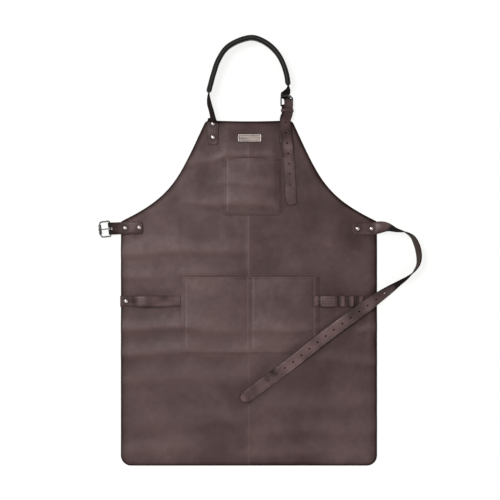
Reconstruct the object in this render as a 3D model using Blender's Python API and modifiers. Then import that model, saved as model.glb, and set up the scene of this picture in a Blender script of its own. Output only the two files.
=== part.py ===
"""Leather welding apron, lying face up on a flat surface with its bib towards +Y.

Metres, +Z up. The origin is on the underside of the leather panel, at the middle of its width and
height. The neck strap loops over the bib on its edge, the right waist strap curls round and lies back
across the front, and both buckles hang on the folds of their short straps.
"""
import math

import bmesh
import bpy
from mathutils import Matrix, Vector

MM = 0.001
UP = Vector((0, 0, 1))

# Leather thicknesses, and the gap left between pieces that touch
PANEL_THICK = 2.2 * MM
STRAP_THICK = 2.6 * MM
LOOP_THICK = 2.2 * MM
POCKET_THICK = 1.8 * MM
PAD_THICK = 4.0 * MM
GAP = 0.3 * MM

# Panel
HALF_WIDTH = 314 * MM
HALF_HEIGHT = 423.3 * MM
HEM_RADIUS = 25 * MM
ARMHOLE_TOP = Vector((109.5, 415, 0)) * MM
ARMHOLE_BOTTOM = Vector((314, 175.4, 0)) * MM
ARMHOLE_TOP_HANDLE = Vector((172.7, 278.9, 0)) * MM
ARMHOLE_BOTTOM_HANDLE = Vector((186.8, 236.3, 0)) * MM
BIB_HALF_WIDTH = 98 * MM
BIB_DIP = 2.5 * MM

# Straps
WAIST_WIDTH = 30 * MM
NECK_WIDTH = 27 * MM
PAD_WIDTH = 38 * MM
LOOP_WIDTH = 26.6 * MM
HOLE_RADIUS = 2.2 * MM
HOLE_PITCH = 25.4 * MM
STATION_STEP = 8 * MM

# Buckles: both are the same 34 mm heel-bar buckle with a roller on the toe bar
WIRE_RADIUS = 1.5 * MM
BUCKLE_HALF_WIDTH = 18.5 * MM  # to the middle of a side wire
BUCKLE_LENGTH = 25 * MM  # bar to toe bar, between centres
TOE_CORNER = 6 * MM
BAR_CORNER = 3 * MM
ROLLER_RADIUS = 3.4 * MM
ROLLER_BORE = 1.9 * MM
ROLLER_LENGTH = 24 * MM
PRONG_RADIUS = 1.4 * MM
PRONG_EYE = 3.25 * MM  # radius of the prong's eye round the bar, to the middle of its wire
FOLD_RADIUS = 3.1 * MM  # radius of a strap's fold round the bar, to the middle of the leather
SLOT_WIDTH = 7 * MM

# Rivets: a cap on the front, and a post whose foot is drawn into the back of the panel
CAP_RADIUS = 4.6 * MM
CAP_HEIGHT = 2.0 * MM
SOCKET_RADIUS = 1.8 * MM
SOCKET_DEPTH = 1.5 * MM
POST_RADIUS = 1.5 * MM
FOOT_RADIUS = 4.2 * MM
FOOT_LOW = 0.15 * MM
FOOT_HIGH = 1.0 * MM
RECESS_RADIUS = 4.6 * MM
RECESS_DEPTH = 1.3 * MM
RECESS_BELOW = 2.0 * MM  # how far its cutter reaches below the panel
RIVET_SIDES = 14

# Heights of what lies flat on the panel
ON_PANEL = PANEL_THICK + GAP
STRAP_MID = ON_PANEL + STRAP_THICK / 2
STRAP_TOP = ON_PANEL + STRAP_THICK
PAIR_MID = ON_PANEL + STRAP_THICK + GAP / 2
PAIR_TOP = ON_PANEL + 2 * STRAP_THICK + GAP
LOOP_TOP = ON_PANEL + LOOP_THICK

# Waist buckle strap, on the wearer's right (-X): the line of its two rivets runs out to the bar
WAIST_BAR = Vector((-340, 157.6, 7.0)) * MM
WAIST_BAR_TURN = 6.0  # degrees, of the buckle about +Z
WAIST_FOLD_TURN = 2.0  # degrees, of the strap about +Z
WAIST_BUCKLE_RIVETS = ((-303.4, 159.2), (-269.0, 160.4))

# Waist strap: x, y, z in mm and roll in degrees. The roll turns the grain towards the left of the way.
WAIST_RIVETS = ((300.2, 157.6), (266.3, 157.4))
WAIST_ROUTE = (
    (253.0, 157.4, 3.8, 0), (280.0, 157.4, 3.8, 0), (300.0, 157.6, 3.8, 0), (309.0, 158.8, 4.3, 3),
    (322.0, 161.2, 8.5, 20), (337.0, 161.4, 12.6, 44), (359.0, 154.4, 15.2, 70), (383.8, 148.0, 16.0, 90),
    (399.6, 137.2, 16.0, 101), (408.4, 121.4, 15.8, 108), (413.6, 104.5, 15.8, 109), (415.6, 86.2, 15.9, 106),
    (413.4, 70.3, 16.0, 98), (404.6, 54.9, 16.0, 90), (389.8, 40.1, 15.8, 78), (367.0, 24.3, 15.4, 64),
    (343.4, 8.2, 14.8, 46), (315.8, -11.0, 14.2, 28), (290.8, -29.3, 13.4, 12), (264.8, -48.0, 12.6, 3),
)
WAIST_TAIL_ROUTE = (
    (264.8, -48.0, 12.6, 3), (248.6, -59.7, 11.4, 0), (221.7, -79.3, 9.0, 0), (193.1, -101.0, 8.4, 0),
    (169.5, -119.0, 9.4, 0), (144.2, -139.2, 7.6, 0), (117.3, -161.2, 6.2, 0), (86.0, -185.5, 3.8, 0),
    (50.0, -212.3, 3.8, 0), (15.0, -238.1, 3.8, 0), (0.0, -249.1, 4.5, 0), (-12.0, -257.0, 7.4, 0),
    (-19.5, -261.6, 10.6, 0),
)
WAIST_TIP_LENGTH = 12 * MM
WAIST_FIRST_HOLE = 83 * MM
WAIST_HOLES_TAIL = 11
WAIST_HOLES_CURL = 4

# Neck strap, from its riveted end on the bib, over the nape pad and down to the buckle
NECK_LEFT_RIVETS = ((-88.6, 414.7), (-88.6, 381.5))
NECK_RIGHT_RIVETS = ((88.6, 414.7), (88.6, 381.5))
NECK_TIP = 7 * MM
NECK_RISE = (
    (-88.8, 363.5, 3.8, 0), (-88.6, 381.5, 3.8, 0), (-88.6, 405.0, 3.8, 0), (-88.6, 419.8, 3.8, 0),
    (-88.7, 425.0, 8.6, 19), (-89.2, 432.5, 13.2, 54), (-90.4, 440.0, 15.4, 62), (-93.0, 449.0, 16.4, 66),
    (-95.8, 458.0, 16.8, 69), (-97.6, 467.5, 17.5, 73), (-98.4, 477.5, 18.7, 79),
)
NECK_ARCH = (
    (-97.8, 490.5, 19.7, 86), (-92.9, 512.2, 19.7, 86), (-86.4, 535.6, 19.7, 86), (-75.0, 567.9, 19.7, 86),
    (-55.5, 597.0, 19.7, 86), (-24.4, 615.6, 19.7, 86), (9.4, 622.8, 19.7, 86), (42.2, 610.0, 19.7, 86),
    (69.8, 584.0, 19.7, 86), (86.7, 550.4, 19.7, 86), (93.4, 524.9, 19.7, 86), (95.4, 508.5, 19.7, 85),
)
NECK_TWIST = ((95.7, 502.5, 18.9, 81), (93.9, 496.5, 16.9, 69), (91.2, 491.0, 13.8, 56))
# Neck buckle: its own axes are along the bar, towards the toe and out of the strap's grain side
NECK_BAR = Vector((92.3, 455.8, 15.4)) * MM
NECK_ROLL = 40.0  # degrees
NECK_THREAD = ((29.5, -6.1), (24.0, -5.9), (20.4, -3.6), (19.0, 0.6), (17.0, 4.4), (13.0, 6.5), (7.0, 6.8))
# Short neck strap: the middle of its two legs, with half of the space between their middles
NECK_FOLD = (
    (88.6, 364.0, 5.25, 0, 1.45), (88.6, 385.0, 5.25, 0, 1.45), (88.6, 420.0, 5.25, 0, 1.45),
    (88.8, 424.0, 5.8, 3, 1.55), (89.8, 429.0, 8.6, 14, 1.75), (91.3, 434.5, 12.6, 30, 2.0),
    (92.3, 439.5, 15.4, 40, 2.2),
)
# The hole the neck prong comes through: along the strap from the bar, and out from it
NECK_SLOT_PLACE = 17.0 * MM
NECK_SLOT_LIFT = 3.9 * MM
NECK_SLOT_RADIUS = 2.3 * MM
NECK_SLOT_LENGTH = 11.0 * MM
NECK_TAIL_LIFT = 6.75 * MM  # of the strap's tail over the bar and in the keeper
# Tail of the neck strap, between the keeper and the place where it bends, and then on the bib
NECK_TAIL_UPPER = (
    (95.9, 437.5, 20.4, 39), (93.4, 431.5, 19.2, 36), (90.7, 425.0, 17.4, 31), (89.1, 419.0, 16.2, 27),
)
NECK_TAIL = (
    (88.8, 413.0, 15.2, 23), (88.8, 406.0, 14.8, 21), (89.8, 395.0, 14.1, 17), (91.6, 381.0, 13.1, 12.5),
    (93.6, 364.0, 11.3, 7), (95.6, 347.0, 6.5, 2), (97.4, 331.0, 3.9, 0), (99.4, 300.0, 3.8, 0),
    (101.4, 260.0, 3.8, 0), (103.6, 216.0, 3.8, 0),
)
NECK_FIRST_HOLE = 50 * MM
NECK_HOLES = 7
KEEPER_WALL = 1.6 * MM
KEEPER_LENGTH = 7 * MM
KEEPER_PLACE = -10.3 * MM  # along the strap from the bar

# Pockets: outer size, place of the middle, and how far the leather stands off between the seams
SEAM = 13 * MM
BIB_POCKET = {"centre": (6.2, 259.7), "size": (145, 140), "bays": 1, "rise": 6.8, "grid": (14, 12)}
LOWER_POCKET = {"centre": (3.1, -55.1), "size": (341, 189), "bays": 2, "rise": 7.0, "grid": (26, 14)}
POCKET_CORNER = 9 * MM

# Towel loop (left) and tool loops (right)
LOOP_CENTRE_Y = -20.4 * MM
TOWEL_RIVET = (-301.5, -20.4)
TOOL_RIVET = (301.5, -20.4)
TOWEL_PROFILE = (
    (-315.5, 0), (-309, 0), (-290, 0), (-282, 1.6), (-268, 5.6), (-250, 7.4), (-230, 6.4), (-208, 3.0),
    (-190, 0.8), (-180, 0), (-168.2, 0),
)
TOOL_TAB = (157.0, 171.0)
TOOL_WIDE_LOOP = (171.0, 213.5, 5.0)
TOOL_LOOPS = ((216.5, 236.5), (239.5, 259.5), (262.5, 282.5))
TOOL_LOOP_RISE = 6.4
TOOL_END = 313.0

# Name plate
PLATE_CENTRE = Vector((1.8, 380.2, 0)) * MM
PLATE_SIZE = (57.8 * MM, 19.6 * MM)
PLATE_THICK = 1.0 * MM
PLATE_RIM = 0.5 * MM
PLATE_PIN = 24 * MM
PIN_RADIUS = 1.0 * MM

LEATHER = (0.112, 0.067, 0.060)
STRAP_LEATHER = (0.095, 0.058, 0.052)
PAD_LEATHER = (0.018, 0.015, 0.014)
NICKEL = (0.62, 0.58, 0.55)
PEWTER = (0.47, 0.42, 0.38)


# ---------------------------------------------------------------- scene and materials

def clear_scene():
    for obj in list(bpy.data.objects):
        bpy.data.objects.remove(obj, do_unlink=True)


def collection(name, hidden=False):
    made = bpy.data.collections.new(name)
    bpy.context.scene.collection.children.link(made)
    made.hide_render = hidden
    return made


def material(name, colour, roughness, metallic=0.0):
    made = bpy.data.materials.new(name)
    made.use_nodes = True
    shader = made.node_tree.nodes["Principled BSDF"]
    shader.inputs["Base Color"].default_value = (*colour, 1)
    shader.inputs["Roughness"].default_value = roughness
    shader.inputs["Metallic"].default_value = metallic
    return made


def add(name, mesh, finish, place=None):
    """A part of the apron, placed by its matrix or by an empty that it hangs on."""
    obj = bpy.data.objects.new(name, mesh)
    PARTS.objects.link(obj)
    mesh.materials.append(finish)
    if place is not None:
        obj.parent = place
    return obj


def mesh_from(name, builder):
    mesh = bpy.data.meshes.new(name)
    bmesh.ops.recalc_face_normals(builder, faces=builder.faces)
    builder.to_mesh(mesh)
    builder.free()
    return mesh


def smooth(mesh, degrees=40):
    mesh.shade_smooth()
    mesh.set_sharp_from_angle(angle=math.radians(degrees))


def axes_empty(name, origin, across, along):
    """An empty whose +X runs across, +Y along and +Z out of the face of the piece that hangs on it."""
    empty = bpy.data.objects.new(name, None)
    PARTS.objects.link(empty)
    along = along.normalized()
    out = across.cross(along).normalized()
    across = along.cross(out)
    frame = Matrix((across, along, out)).transposed().to_4x4()
    empty.matrix_world = Matrix.Translation(origin) @ frame
    bpy.context.view_layer.update()
    return empty


# ---------------------------------------------------------------- outlines, turned shapes, wires

def arc(centre, radius, start, end, steps):
    """Points on an arc, by angles in degrees."""
    angles = [math.radians(start + (end - start) * i / steps) for i in range(steps + 1)]
    return [Vector((centre[0] + radius * math.cos(a), centre[1] + radius * math.sin(a), 0)) for a in angles]


def bezier(a, b, c, d, steps):
    shares = [i / steps for i in range(steps + 1)]
    return [a * (1 - t) ** 3 + b * 3 * (1 - t) ** 2 * t + c * 3 * (1 - t) * t * t + d * t ** 3 for t in shares]


def curve_object(name, points, cyclic, dimensions):
    curve = bpy.data.curves.new(name, "CURVE")
    curve.dimensions = dimensions
    line = curve.splines.new("POLY")
    line.points.add(len(points) - 1)
    for point, place in zip(line.points, points):
        point.co = (*place, 1)
    line.use_cyclic_u = cyclic
    return curve


def mesh_of_curve(curve):
    """The curve's evaluated mesh, with its loose caps welded to its sides."""
    helper = bpy.data.objects.new("helper", curve)
    bpy.context.scene.collection.objects.link(helper)
    bpy.context.view_layer.update()
    mesh = bpy.data.meshes.new_from_object(helper.evaluated_get(bpy.context.evaluated_depsgraph_get()))
    bpy.data.objects.remove(helper, do_unlink=True)
    builder = bmesh.new()
    builder.from_mesh(mesh)
    bmesh.ops.remove_doubles(builder, verts=builder.verts, dist=1e-6)
    bmesh.ops.recalc_face_normals(builder, faces=builder.faces)
    builder.to_mesh(mesh)
    builder.free()
    return mesh


def flat_mesh(name, points, low, thick):
    """A flat outline, extruded from the height low by thick."""
    curve = curve_object(name, points, True, "2D")
    curve.fill_mode = "BOTH"
    curve.extrude = thick / 2
    mesh = mesh_of_curve(curve)
    mesh.transform(Matrix.Translation((0, 0, low + thick / 2)))
    return mesh


def wire_mesh(name, points, radius, cyclic=False, sides=2):
    curve = curve_object(name, points, cyclic, "3D")
    curve.bevel_depth = radius
    curve.bevel_resolution = sides
    curve.use_fill_caps = not cyclic
    mesh = mesh_of_curve(curve)
    smooth(mesh)
    return mesh


def turned(name, profile, finish, place, sides=RIVET_SIDES, closed=False):
    """A profile of (radius, height) points, running down its outer side, turned about +Z."""
    builder = bmesh.new()
    verts = [builder.verts.new((r, 0, z)) for r, z in profile]
    pairs = list(zip(verts, verts[1:]))
    if closed:
        pairs.append((verts[-1], verts[0]))
    for pair in pairs:
        builder.edges.new(pair)
    mesh = bpy.data.meshes.new(name)
    builder.to_mesh(mesh)
    builder.free()
    obj = add(name, mesh, finish)
    obj.location = place
    screw = obj.modifiers.new("turn", "SCREW")
    screw.steps = sides
    screw.render_steps = sides
    screw.use_merge_vertices = True
    screw.merge_threshold = 1e-6
    return obj


# ---------------------------------------------------------------- cutters

def combine(obj, suffix, shapes, operation="DIFFERENCE", place=None):
    """Cuts shapes from obj, or joins them to it. Each shape adds its faces to a bmesh.

    The helper stands at the world's origin, or hangs on obj's own parent and place.
    """
    builder = bmesh.new()
    for shape in shapes:
        shape(builder)
    name = f"{obj.name}_{suffix}"
    tool = bpy.data.objects.new(name, mesh_from(name, builder))
    CUTTERS.objects.link(tool)
    tool.hide_render = True
    tool.display_type = "WIRE"
    tool.parent = obj.parent
    if place is not None:
        tool.location = place
    boolean = obj.modifiers.new(suffix, "BOOLEAN")
    boolean.operation = operation
    boolean.solver = "EXACT"
    boolean.object = tool


def drill(centre, axis, radius, depth, sides=10, stretch=None):
    """A round cutter about centre. With stretch, (direction, factor) makes it an oblong one."""
    def shape(builder):
        turn = axis.to_track_quat("Z", "Y").to_matrix().to_4x4()
        made = bmesh.ops.create_cone(
            builder, cap_ends=True, segments=sides, radius1=radius, radius2=radius, depth=depth, matrix=turn)
        if stretch:
            direction, factor = stretch
            for vert in made["verts"]:
                vert.co += direction * (vert.co.dot(direction) * (factor - 1))
        bmesh.ops.translate(builder, verts=made["verts"], vec=centre)
    return shape


def block(low, high):
    def shape(builder):
        size = [h - l for l, h in zip(low, high)]
        middle = [(h + l) / 2 for l, h in zip(low, high)]
        bmesh.ops.create_cube(builder, matrix=Matrix.Translation(middle) @ Matrix.Diagonal((*size, 1)))
    return shape


# ---------------------------------------------------------------- straps

def resample(keys, step=STATION_STEP):
    """Stations on a smooth curve through the keys: tuples whose first three values are a place."""
    rows = [tuple(float(v) for v in key) for key in keys]
    spans = [max(1e-9, math.dist(a[:3], b[:3])) for a, b in zip(rows, rows[1:])]

    def slope(i, k):
        if i == 0:
            return (rows[1][k] - rows[0][k]) / spans[0]
        if i == len(rows) - 1:
            return (rows[-1][k] - rows[-2][k]) / spans[-1]
        before = (rows[i][k] - rows[i - 1][k]) / spans[i - 1]
        after = (rows[i + 1][k] - rows[i][k]) / spans[i]
        if k >= 2:
            # Height and roll run level at a turning point, so that nothing dips below what it lies on.
            return 2 * before * after / (before + after) if before * after > 0 else 0.0
        return (before * spans[i] + after * spans[i - 1]) / (spans[i - 1] + spans[i])

    def between(i, k, t):
        start, end = rows[i][k], rows[i + 1][k]
        leave, arrive = spans[i] * slope(i, k), spans[i] * slope(i + 1, k)
        ease = 3 * t * t - 2 * t ** 3
        return start + (end - start) * ease + leave * (t ** 3 - 2 * t * t + t) + arrive * (t ** 3 - t * t)

    made = [rows[0]]
    for i, span in enumerate(spans):
        parts = max(1, math.ceil(span / step))
        for j in range(1, parts + 1):
            made.append(tuple(between(i, k, j / parts) for k in range(len(rows[0]))))
    return made


def directions(points):
    ends = [points[0]] + points + [points[-1]]
    return [(ends[i + 2] - ends[i]).normalized() for i in range(len(points))]


def rolled(points, rolls):
    """The across direction at each point: level and to the right of the way, then rolled by degrees.

    A positive roll lowers the left edge and raises the right one, so the grain turns to the left.
    """
    made = []
    for way, roll in zip(directions(points), rolls):
        level = Vector((way.x, way.y, 0)).cross(UP).normalized()
        across = level * math.cos(math.radians(roll)) + UP * math.sin(math.radians(roll))
        made.append((across - way * across.dot(way)).normalized())
    return made


def normals(points, acrosses):
    return [across.cross(way).normalized() for across, way in zip(acrosses, directions(points))]


def strap_mesh(name, points, acrosses, widths, thick):
    """A strip of leather: its oblong section lofted along a route that may twist and fold on itself."""
    builder = bmesh.new()
    rings = []
    for point, across, out, width in zip(points, acrosses, normals(points, acrosses), widths):
        side = across * (width / 2)
        face = out * (thick / 2)
        corners = (point + side + face, point - side + face, point - side - face, point + side - face)
        rings.append([builder.verts.new(corner) for corner in corners])
    for a, b in zip(rings, rings[1:]):
        for i in range(4):
            builder.faces.new((b[i], b[(i + 1) % 4], a[(i + 1) % 4], a[i]))
    builder.faces.new(rings[0])
    builder.faces.new(reversed(rings[-1]))
    mesh = bpy.data.meshes.new(name)
    builder.to_mesh(mesh)
    builder.free()
    return mesh


def lengths(points):
    made = [0.0]
    for a, b in zip(points, points[1:]):
        made.append(made[-1] + (b - a).length)
    return made


def point_at(points, distance):
    """The place and the way at a distance along the points."""
    run = lengths(points)
    for i in range(len(points) - 1):
        if run[i + 1] >= distance:
            share = (distance - run[i]) / (run[i + 1] - run[i])
            return points[i].lerp(points[i + 1], share), i
    return points[-1], len(points) - 2


def round_tip(points, acrosses, tip, end_width, width, blunt):
    """Adds stations over the last stretch tip long, and gives each station its width.

    The tip is rounded in blunt steps, or clipped straight if there is one.
    """
    run = lengths(points)
    total = run[-1]
    kept = [i for i, s in enumerate(run) if s < total - tip - 1e-6]
    made = [points[i] for i in kept]
    turns = [acrosses[i] for i in kept]
    sizes = [width] * len(kept)
    for j in range(blunt + 1):
        share = j / blunt
        place, i = point_at(points, total - tip * (1 - share))
        made.append(place)
        turns.append(acrosses[min(i + 1, len(acrosses) - 1)])
        wide = math.sqrt(1 - share ** 2) if blunt > 1 else 1 - share
        sizes.append(end_width + (width - end_width) * wide)
    return made, turns, sizes


def route(keys, step=STATION_STEP):
    """Points and across directions from keys of x, y, z in mm and roll in degrees."""
    stations = resample([(x * MM, y * MM, z * MM, roll) for x, y, z, roll in keys], step)
    points = [Vector(s[:3]) for s in stations]
    return points, rolled(points, [s[3] for s in stations])


def holes_along(points, acrosses, first, count, radius=HOLE_RADIUS):
    """Round cutters at the hole pitch, counted back from the end of the points."""
    total = lengths(points)[-1]
    outs = normals(points, acrosses)
    made = []
    for k in range(count):
        place, i = point_at(points, total - first - k * HOLE_PITCH)
        made.append(drill(place, outs[i], radius, 4 * STRAP_THICK))
    return made


def upright(places, radius, high=12 * MM, sides=12):
    """Cutters along Z at (x, y) places in mm."""
    return [drill(Vector((x * MM, y * MM, high / 2)), UP, radius, 2 * high, sides) for x, y in places]


# ---------------------------------------------------------------- the panel and what is sewn on it

def panel_outline():
    corner = Vector((HALF_WIDTH - HEM_RADIUS, -HALF_HEIGHT + HEM_RADIUS, 0))
    right = arc(corner, HEM_RADIUS, -90, 0, 6)
    right += bezier(ARMHOLE_BOTTOM, ARMHOLE_BOTTOM_HANDLE, ARMHOLE_TOP_HANDLE, ARMHOLE_TOP, 16)
    shoulder = Vector((BIB_HALF_WIDTH, HALF_HEIGHT, 0))
    right += [ARMHOLE_TOP.lerp(shoulder, 0.55) + Vector((0.6, 1.4, 0)) * MM, shoulder]
    right += [Vector((BIB_HALF_WIDTH * s, HALF_HEIGHT - BIB_DIP * (1 - s * s), 0)) for s in (0.66, 0.33)]
    middle = [Vector((0, HALF_HEIGHT - BIB_DIP, 0))]
    return right + middle + [Vector((-p.x, p.y, 0)) for p in reversed(right)]


def make_panel(rivet_places):
    obj = add("apron_panel", flat_mesh("apron_panel", panel_outline(), 0, PANEL_THICK), LEATHER_FINISH)
    combine(obj, "sockets", upright(rivet_places, SOCKET_RADIUS))
    depth = RECESS_DEPTH + RECESS_BELOW
    places = [Vector((x * MM, y * MM, RECESS_DEPTH - depth / 2)) for x, y in rivet_places]
    combine(obj, "recesses", [drill(place, UP, RECESS_RADIUS, depth, RIVET_SIDES) for place in places])
    for name, side in (("left_pin", -1), ("right_pin", 1)):
        pin = PLATE_CENTRE + Vector((side * PLATE_PIN, 0, PANEL_THICK / 2))
        combine(obj, name, [drill(pin, UP, PIN_RADIUS + GAP, 4 * PANEL_THICK)])


def make_pocket(name, centre, size, bays, rise, grid):
    """A patch pocket, open towards +Y: sewn flat round its sides and standing off in each bay."""
    width, height = size[0] * MM, size[1] * MM
    columns, rows = grid
    builder = bmesh.new()
    half_seam = SEAM / 2
    edges = [-width / 2, -width / 2 + SEAM]
    bay_width = (width - 2 * SEAM - (bays - 1) * SEAM) / bays
    steps = (columns - 2 - (bays - 1)) // bays
    for bay in range(bays):
        start = -width / 2 + SEAM + bay * (bay_width + SEAM)
        edges += [start + bay_width * i / steps for i in range(1, steps + 1)]
        if bay < bays - 1:
            edges += [start + bay_width + half_seam, start + bay_width + SEAM]
    edges.append(width / 2)
    ups = [-height / 2, -height / 2 + SEAM]
    ups += [-height / 2 + SEAM + (height - SEAM) * i / (rows - 2) for i in range(1, rows - 1)]

    def stand_off(x, y):
        inside = 0.0
        for bay in range(bays):
            start = -width / 2 + SEAM + bay * (bay_width + SEAM)
            share = (x - start) / bay_width
            if 0 < share < 1:
                inside = math.sin(math.pi * share) ** 0.6
        depth = (y + height / 2 - SEAM) / (height - SEAM)
        return inside * min(1.0, max(0.0, depth) / 0.3) ** 0.7 * rise * MM

    verts = [[builder.verts.new((x, y, stand_off(x, y))) for x in edges] for y in ups]
    pull = POCKET_CORNER * (1 - math.sqrt(0.5))
    for vert, side in ((verts[0][0], 1), (verts[0][-1], -1)):
        vert.co += Vector((side * pull, pull, 0))
    for a, b in zip(verts, verts[1:]):
        for i in range(len(edges) - 1):
            builder.faces.new((a[i], a[i + 1], b[i + 1], b[i]))
    mesh = bpy.data.meshes.new(name)
    builder.to_mesh(mesh)
    builder.free()
    obj = add(name, mesh, LEATHER_FINISH)
    obj.location = Vector((centre[0] * MM, centre[1] * MM, ON_PANEL))
    shell = obj.modifiers.new("leather", "SOLIDIFY")
    shell.thickness = POCKET_THICK
    shell.offset = 1
    smooth(mesh)
    return obj


def band(name, profile, thick, width, centre_y, finish):
    """A strip across the apron: (x, height) points in mm of its underside, drawn out along Y."""
    builder = bmesh.new()
    rows = resample([(x * MM, 0, z * MM) for x, z in profile], 5 * MM)
    points = [Vector(row[:3]) for row in rows]
    outs = [Vector((-way.z, 0, way.x)).normalized() for way in directions(points)]
    side = Vector((0, width / 2, 0))
    centre = Vector((0, centre_y, 0))
    rings = []
    for point, out in zip(points, outs):
        base = point + centre
        top = base + out * thick
        rings.append([builder.verts.new(v) for v in (base - side, base + side, top + side, top - side)])
    for a, b in zip(rings, rings[1:]):
        for i in range(4):
            builder.faces.new((a[i], a[(i + 1) % 4], b[(i + 1) % 4], b[i]))
    builder.faces.new(rings[0])
    builder.faces.new(reversed(rings[-1]))
    return add(name, mesh_from(name, builder), finish)


def hump(start, end, rise, steps=6):
    """The underside of one raised loop, as (x, height) points between its seams."""
    return [(start + (end - start) * i / steps, rise * math.sin(math.pi * i / steps) ** 0.75)
            for i in range(1, steps)]


def make_loops():
    low = ON_PANEL / MM
    towel = band("towel_loop", [(x, low + z) for x, z in TOWEL_PROFILE], LOOP_THICK, LOOP_WIDTH,
                 LOOP_CENTRE_Y, STRAP_FINISH)
    combine(towel, "socket", upright([TOWEL_RIVET], SOCKET_RADIUS))
    on_pocket = low + (POCKET_THICK + GAP) / MM
    profile = [(TOOL_TAB[0], on_pocket + 1.4), (TOOL_TAB[0] + 5, on_pocket + 0.2),
               (TOOL_TAB[0] + 8, on_pocket), (TOOL_TAB[1], on_pocket)]
    # The wide loop starts on the pocket and comes down to the panel.
    start, end, rise = TOOL_WIDE_LOOP
    for x, z in hump(start, end, rise):
        profile.append((x, z + low + (on_pocket - low) * (end - x) / (end - start)))
    profile.append((end, low))
    for start, end in TOOL_LOOPS:
        profile.append((start, low))
        profile += [(x, low + z) for x, z in hump(start, end, TOOL_LOOP_RISE)]
        profile.append((end, low))
    profile += [(TOOL_LOOPS[-1][1] + 5, low), (TOOL_END, low)]
    tools = band("tool_loops", profile, LOOP_THICK, LOOP_WIDTH, LOOP_CENTRE_Y, STRAP_FINISH)
    combine(tools, "socket", upright([TOOL_RIVET], SOCKET_RADIUS))


def make_plate():
    """The name plate, blank: a raised rim round a flat field, on two pins through the panel."""
    half_x, half_y = PLATE_SIZE[0] / 2, PLATE_SIZE[1] / 2
    rim = 2 * MM
    builder = bmesh.new()
    size = (PLATE_SIZE[0], PLATE_SIZE[1], PLATE_THICK + PLATE_RIM)
    bmesh.ops.create_cube(builder, matrix=Matrix.Diagonal((*size, 1)))
    upright_edges = [e for e in builder.edges if abs(e.verts[0].co.z - e.verts[1].co.z) > PLATE_THICK]
    bmesh.ops.bevel(builder, geom=upright_edges, offset=1.5 * MM, segments=3, affect="EDGES", profile=0.5)
    mesh = mesh_from("badge_plate", builder)
    obj = add("badge_plate", mesh, PEWTER_FINISH)
    obj.location = PLATE_CENTRE + Vector((0, 0, ON_PANEL + size[2] / 2))
    top = size[2] / 2
    field = block((-half_x + rim, -half_y + rim, top - PLATE_RIM), (half_x - rim, half_y - rim, top + MM))
    combine(obj, "field", [field], place=obj.location)
    depth = PANEL_THICK + PLATE_THICK
    low = 0.4 * PLATE_THICK - top - depth / 2
    pins = [drill(Vector((side * PLATE_PIN, 0, low)), UP, PIN_RADIUS, depth) for side in (-1, 1)]
    combine(obj, "pins", pins, "UNION", obj.location)


# ---------------------------------------------------------------- rivets

def make_rivet(name, place, top):
    """A cap whose skirt rests on the leather at top, and the post that is set into it from the back."""
    x, y = place[0] * MM, place[1] * MM
    crown = [(0, CAP_HEIGHT), (0.38 * CAP_RADIUS, 0.93 * CAP_HEIGHT), (0.72 * CAP_RADIUS, 0.68 * CAP_HEIGHT),
             (0.94 * CAP_RADIUS, 0.32 * CAP_HEIGHT), (CAP_RADIUS, 0.1 * CAP_HEIGHT), (0.97 * CAP_RADIUS, 0),
             (SOCKET_RADIUS, 0), (SOCKET_RADIUS, SOCKET_DEPTH), (0, SOCKET_DEPTH)]
    cap = turned(name + "_cap", crown, NICKEL_FINISH, Vector((x, y, top + GAP)))
    smooth(cap.data)
    head = top + GAP + SOCKET_DEPTH - GAP
    post = [(0, head), (POST_RADIUS, head), (POST_RADIUS, FOOT_HIGH), (FOOT_RADIUS, FOOT_HIGH),
            (FOOT_RADIUS, FOOT_LOW), (0, FOOT_LOW)]
    turned(name + "_post", post, NICKEL_FINISH, Vector((x, y, 0)))


# ---------------------------------------------------------------- buckles

def corner_points(centre, radius, start, steps):
    return [Vector((p.x, p.y, 0)) for p in arc(centre, radius, start, start + 90, steps)]


def make_buckle(prefix, origin, across, along, pitch, prong_tip):
    """A buckle on its bar at origin: +X along the bar, +Y towards the toe, +Z out. Pitch lowers the toe."""
    lean = Matrix.Rotation(math.radians(-pitch), 3, across.normalized())
    empty = axes_empty(prefix + "_buckle_axes", origin, across, lean @ along)
    half, length = BUCKLE_HALF_WIDTH, BUCKLE_LENGTH
    ring = corner_points((half - TOE_CORNER, length - TOE_CORNER), TOE_CORNER, 0, 4)
    ring += corner_points((-half + TOE_CORNER, length - TOE_CORNER), TOE_CORNER, 90, 4)
    ring += corner_points((-half + BAR_CORNER, BAR_CORNER), BAR_CORNER, 180, 3)
    ring += corner_points((half - BAR_CORNER, BAR_CORNER), BAR_CORNER, 270, 3)
    add(prefix + "_buckle_frame", wire_mesh(prefix + "_frame", ring, WIRE_RADIUS, True), NICKEL_FINISH, empty)

    toe_axes = axes_empty(prefix + "_roller_axes", Vector(), Vector((1, 0, 0)), Vector((0, 1, 0)))
    toe_axes.parent = empty
    toe_axes.location = Vector((0, length, 0))
    half_roller = ROLLER_LENGTH / 2
    rim = [(ROLLER_RADIUS, half_roller - 0.5 * MM), (ROLLER_RADIUS, -half_roller + 0.5 * MM),
           (ROLLER_RADIUS - 0.5 * MM, -half_roller), (ROLLER_BORE, -half_roller), (ROLLER_BORE, half_roller),
           (ROLLER_RADIUS - 0.5 * MM, half_roller)]
    roller = turned(prefix + "_buckle_roller", rim, NICKEL_FINISH, Vector(), 16, closed=True)
    roller.parent = toe_axes
    roller.rotation_euler = (0, math.radians(90), 0)
    smooth(roller.data)

    eye = [Vector((0, PRONG_EYE * math.cos(a), PRONG_EYE * math.sin(a)))
           for a in (math.radians(310 - 220 * i / 12) for i in range(12))]
    tongue = [Vector((0, y * MM, z * MM)) for y, z in ((0, PRONG_EYE / MM),) + prong_tip]
    prong = wire_mesh(prefix + "_prong", eye + tongue, PRONG_RADIUS)
    add(prefix + "_buckle_prong", prong, NICKEL_FINISH, empty)
    return empty


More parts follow.
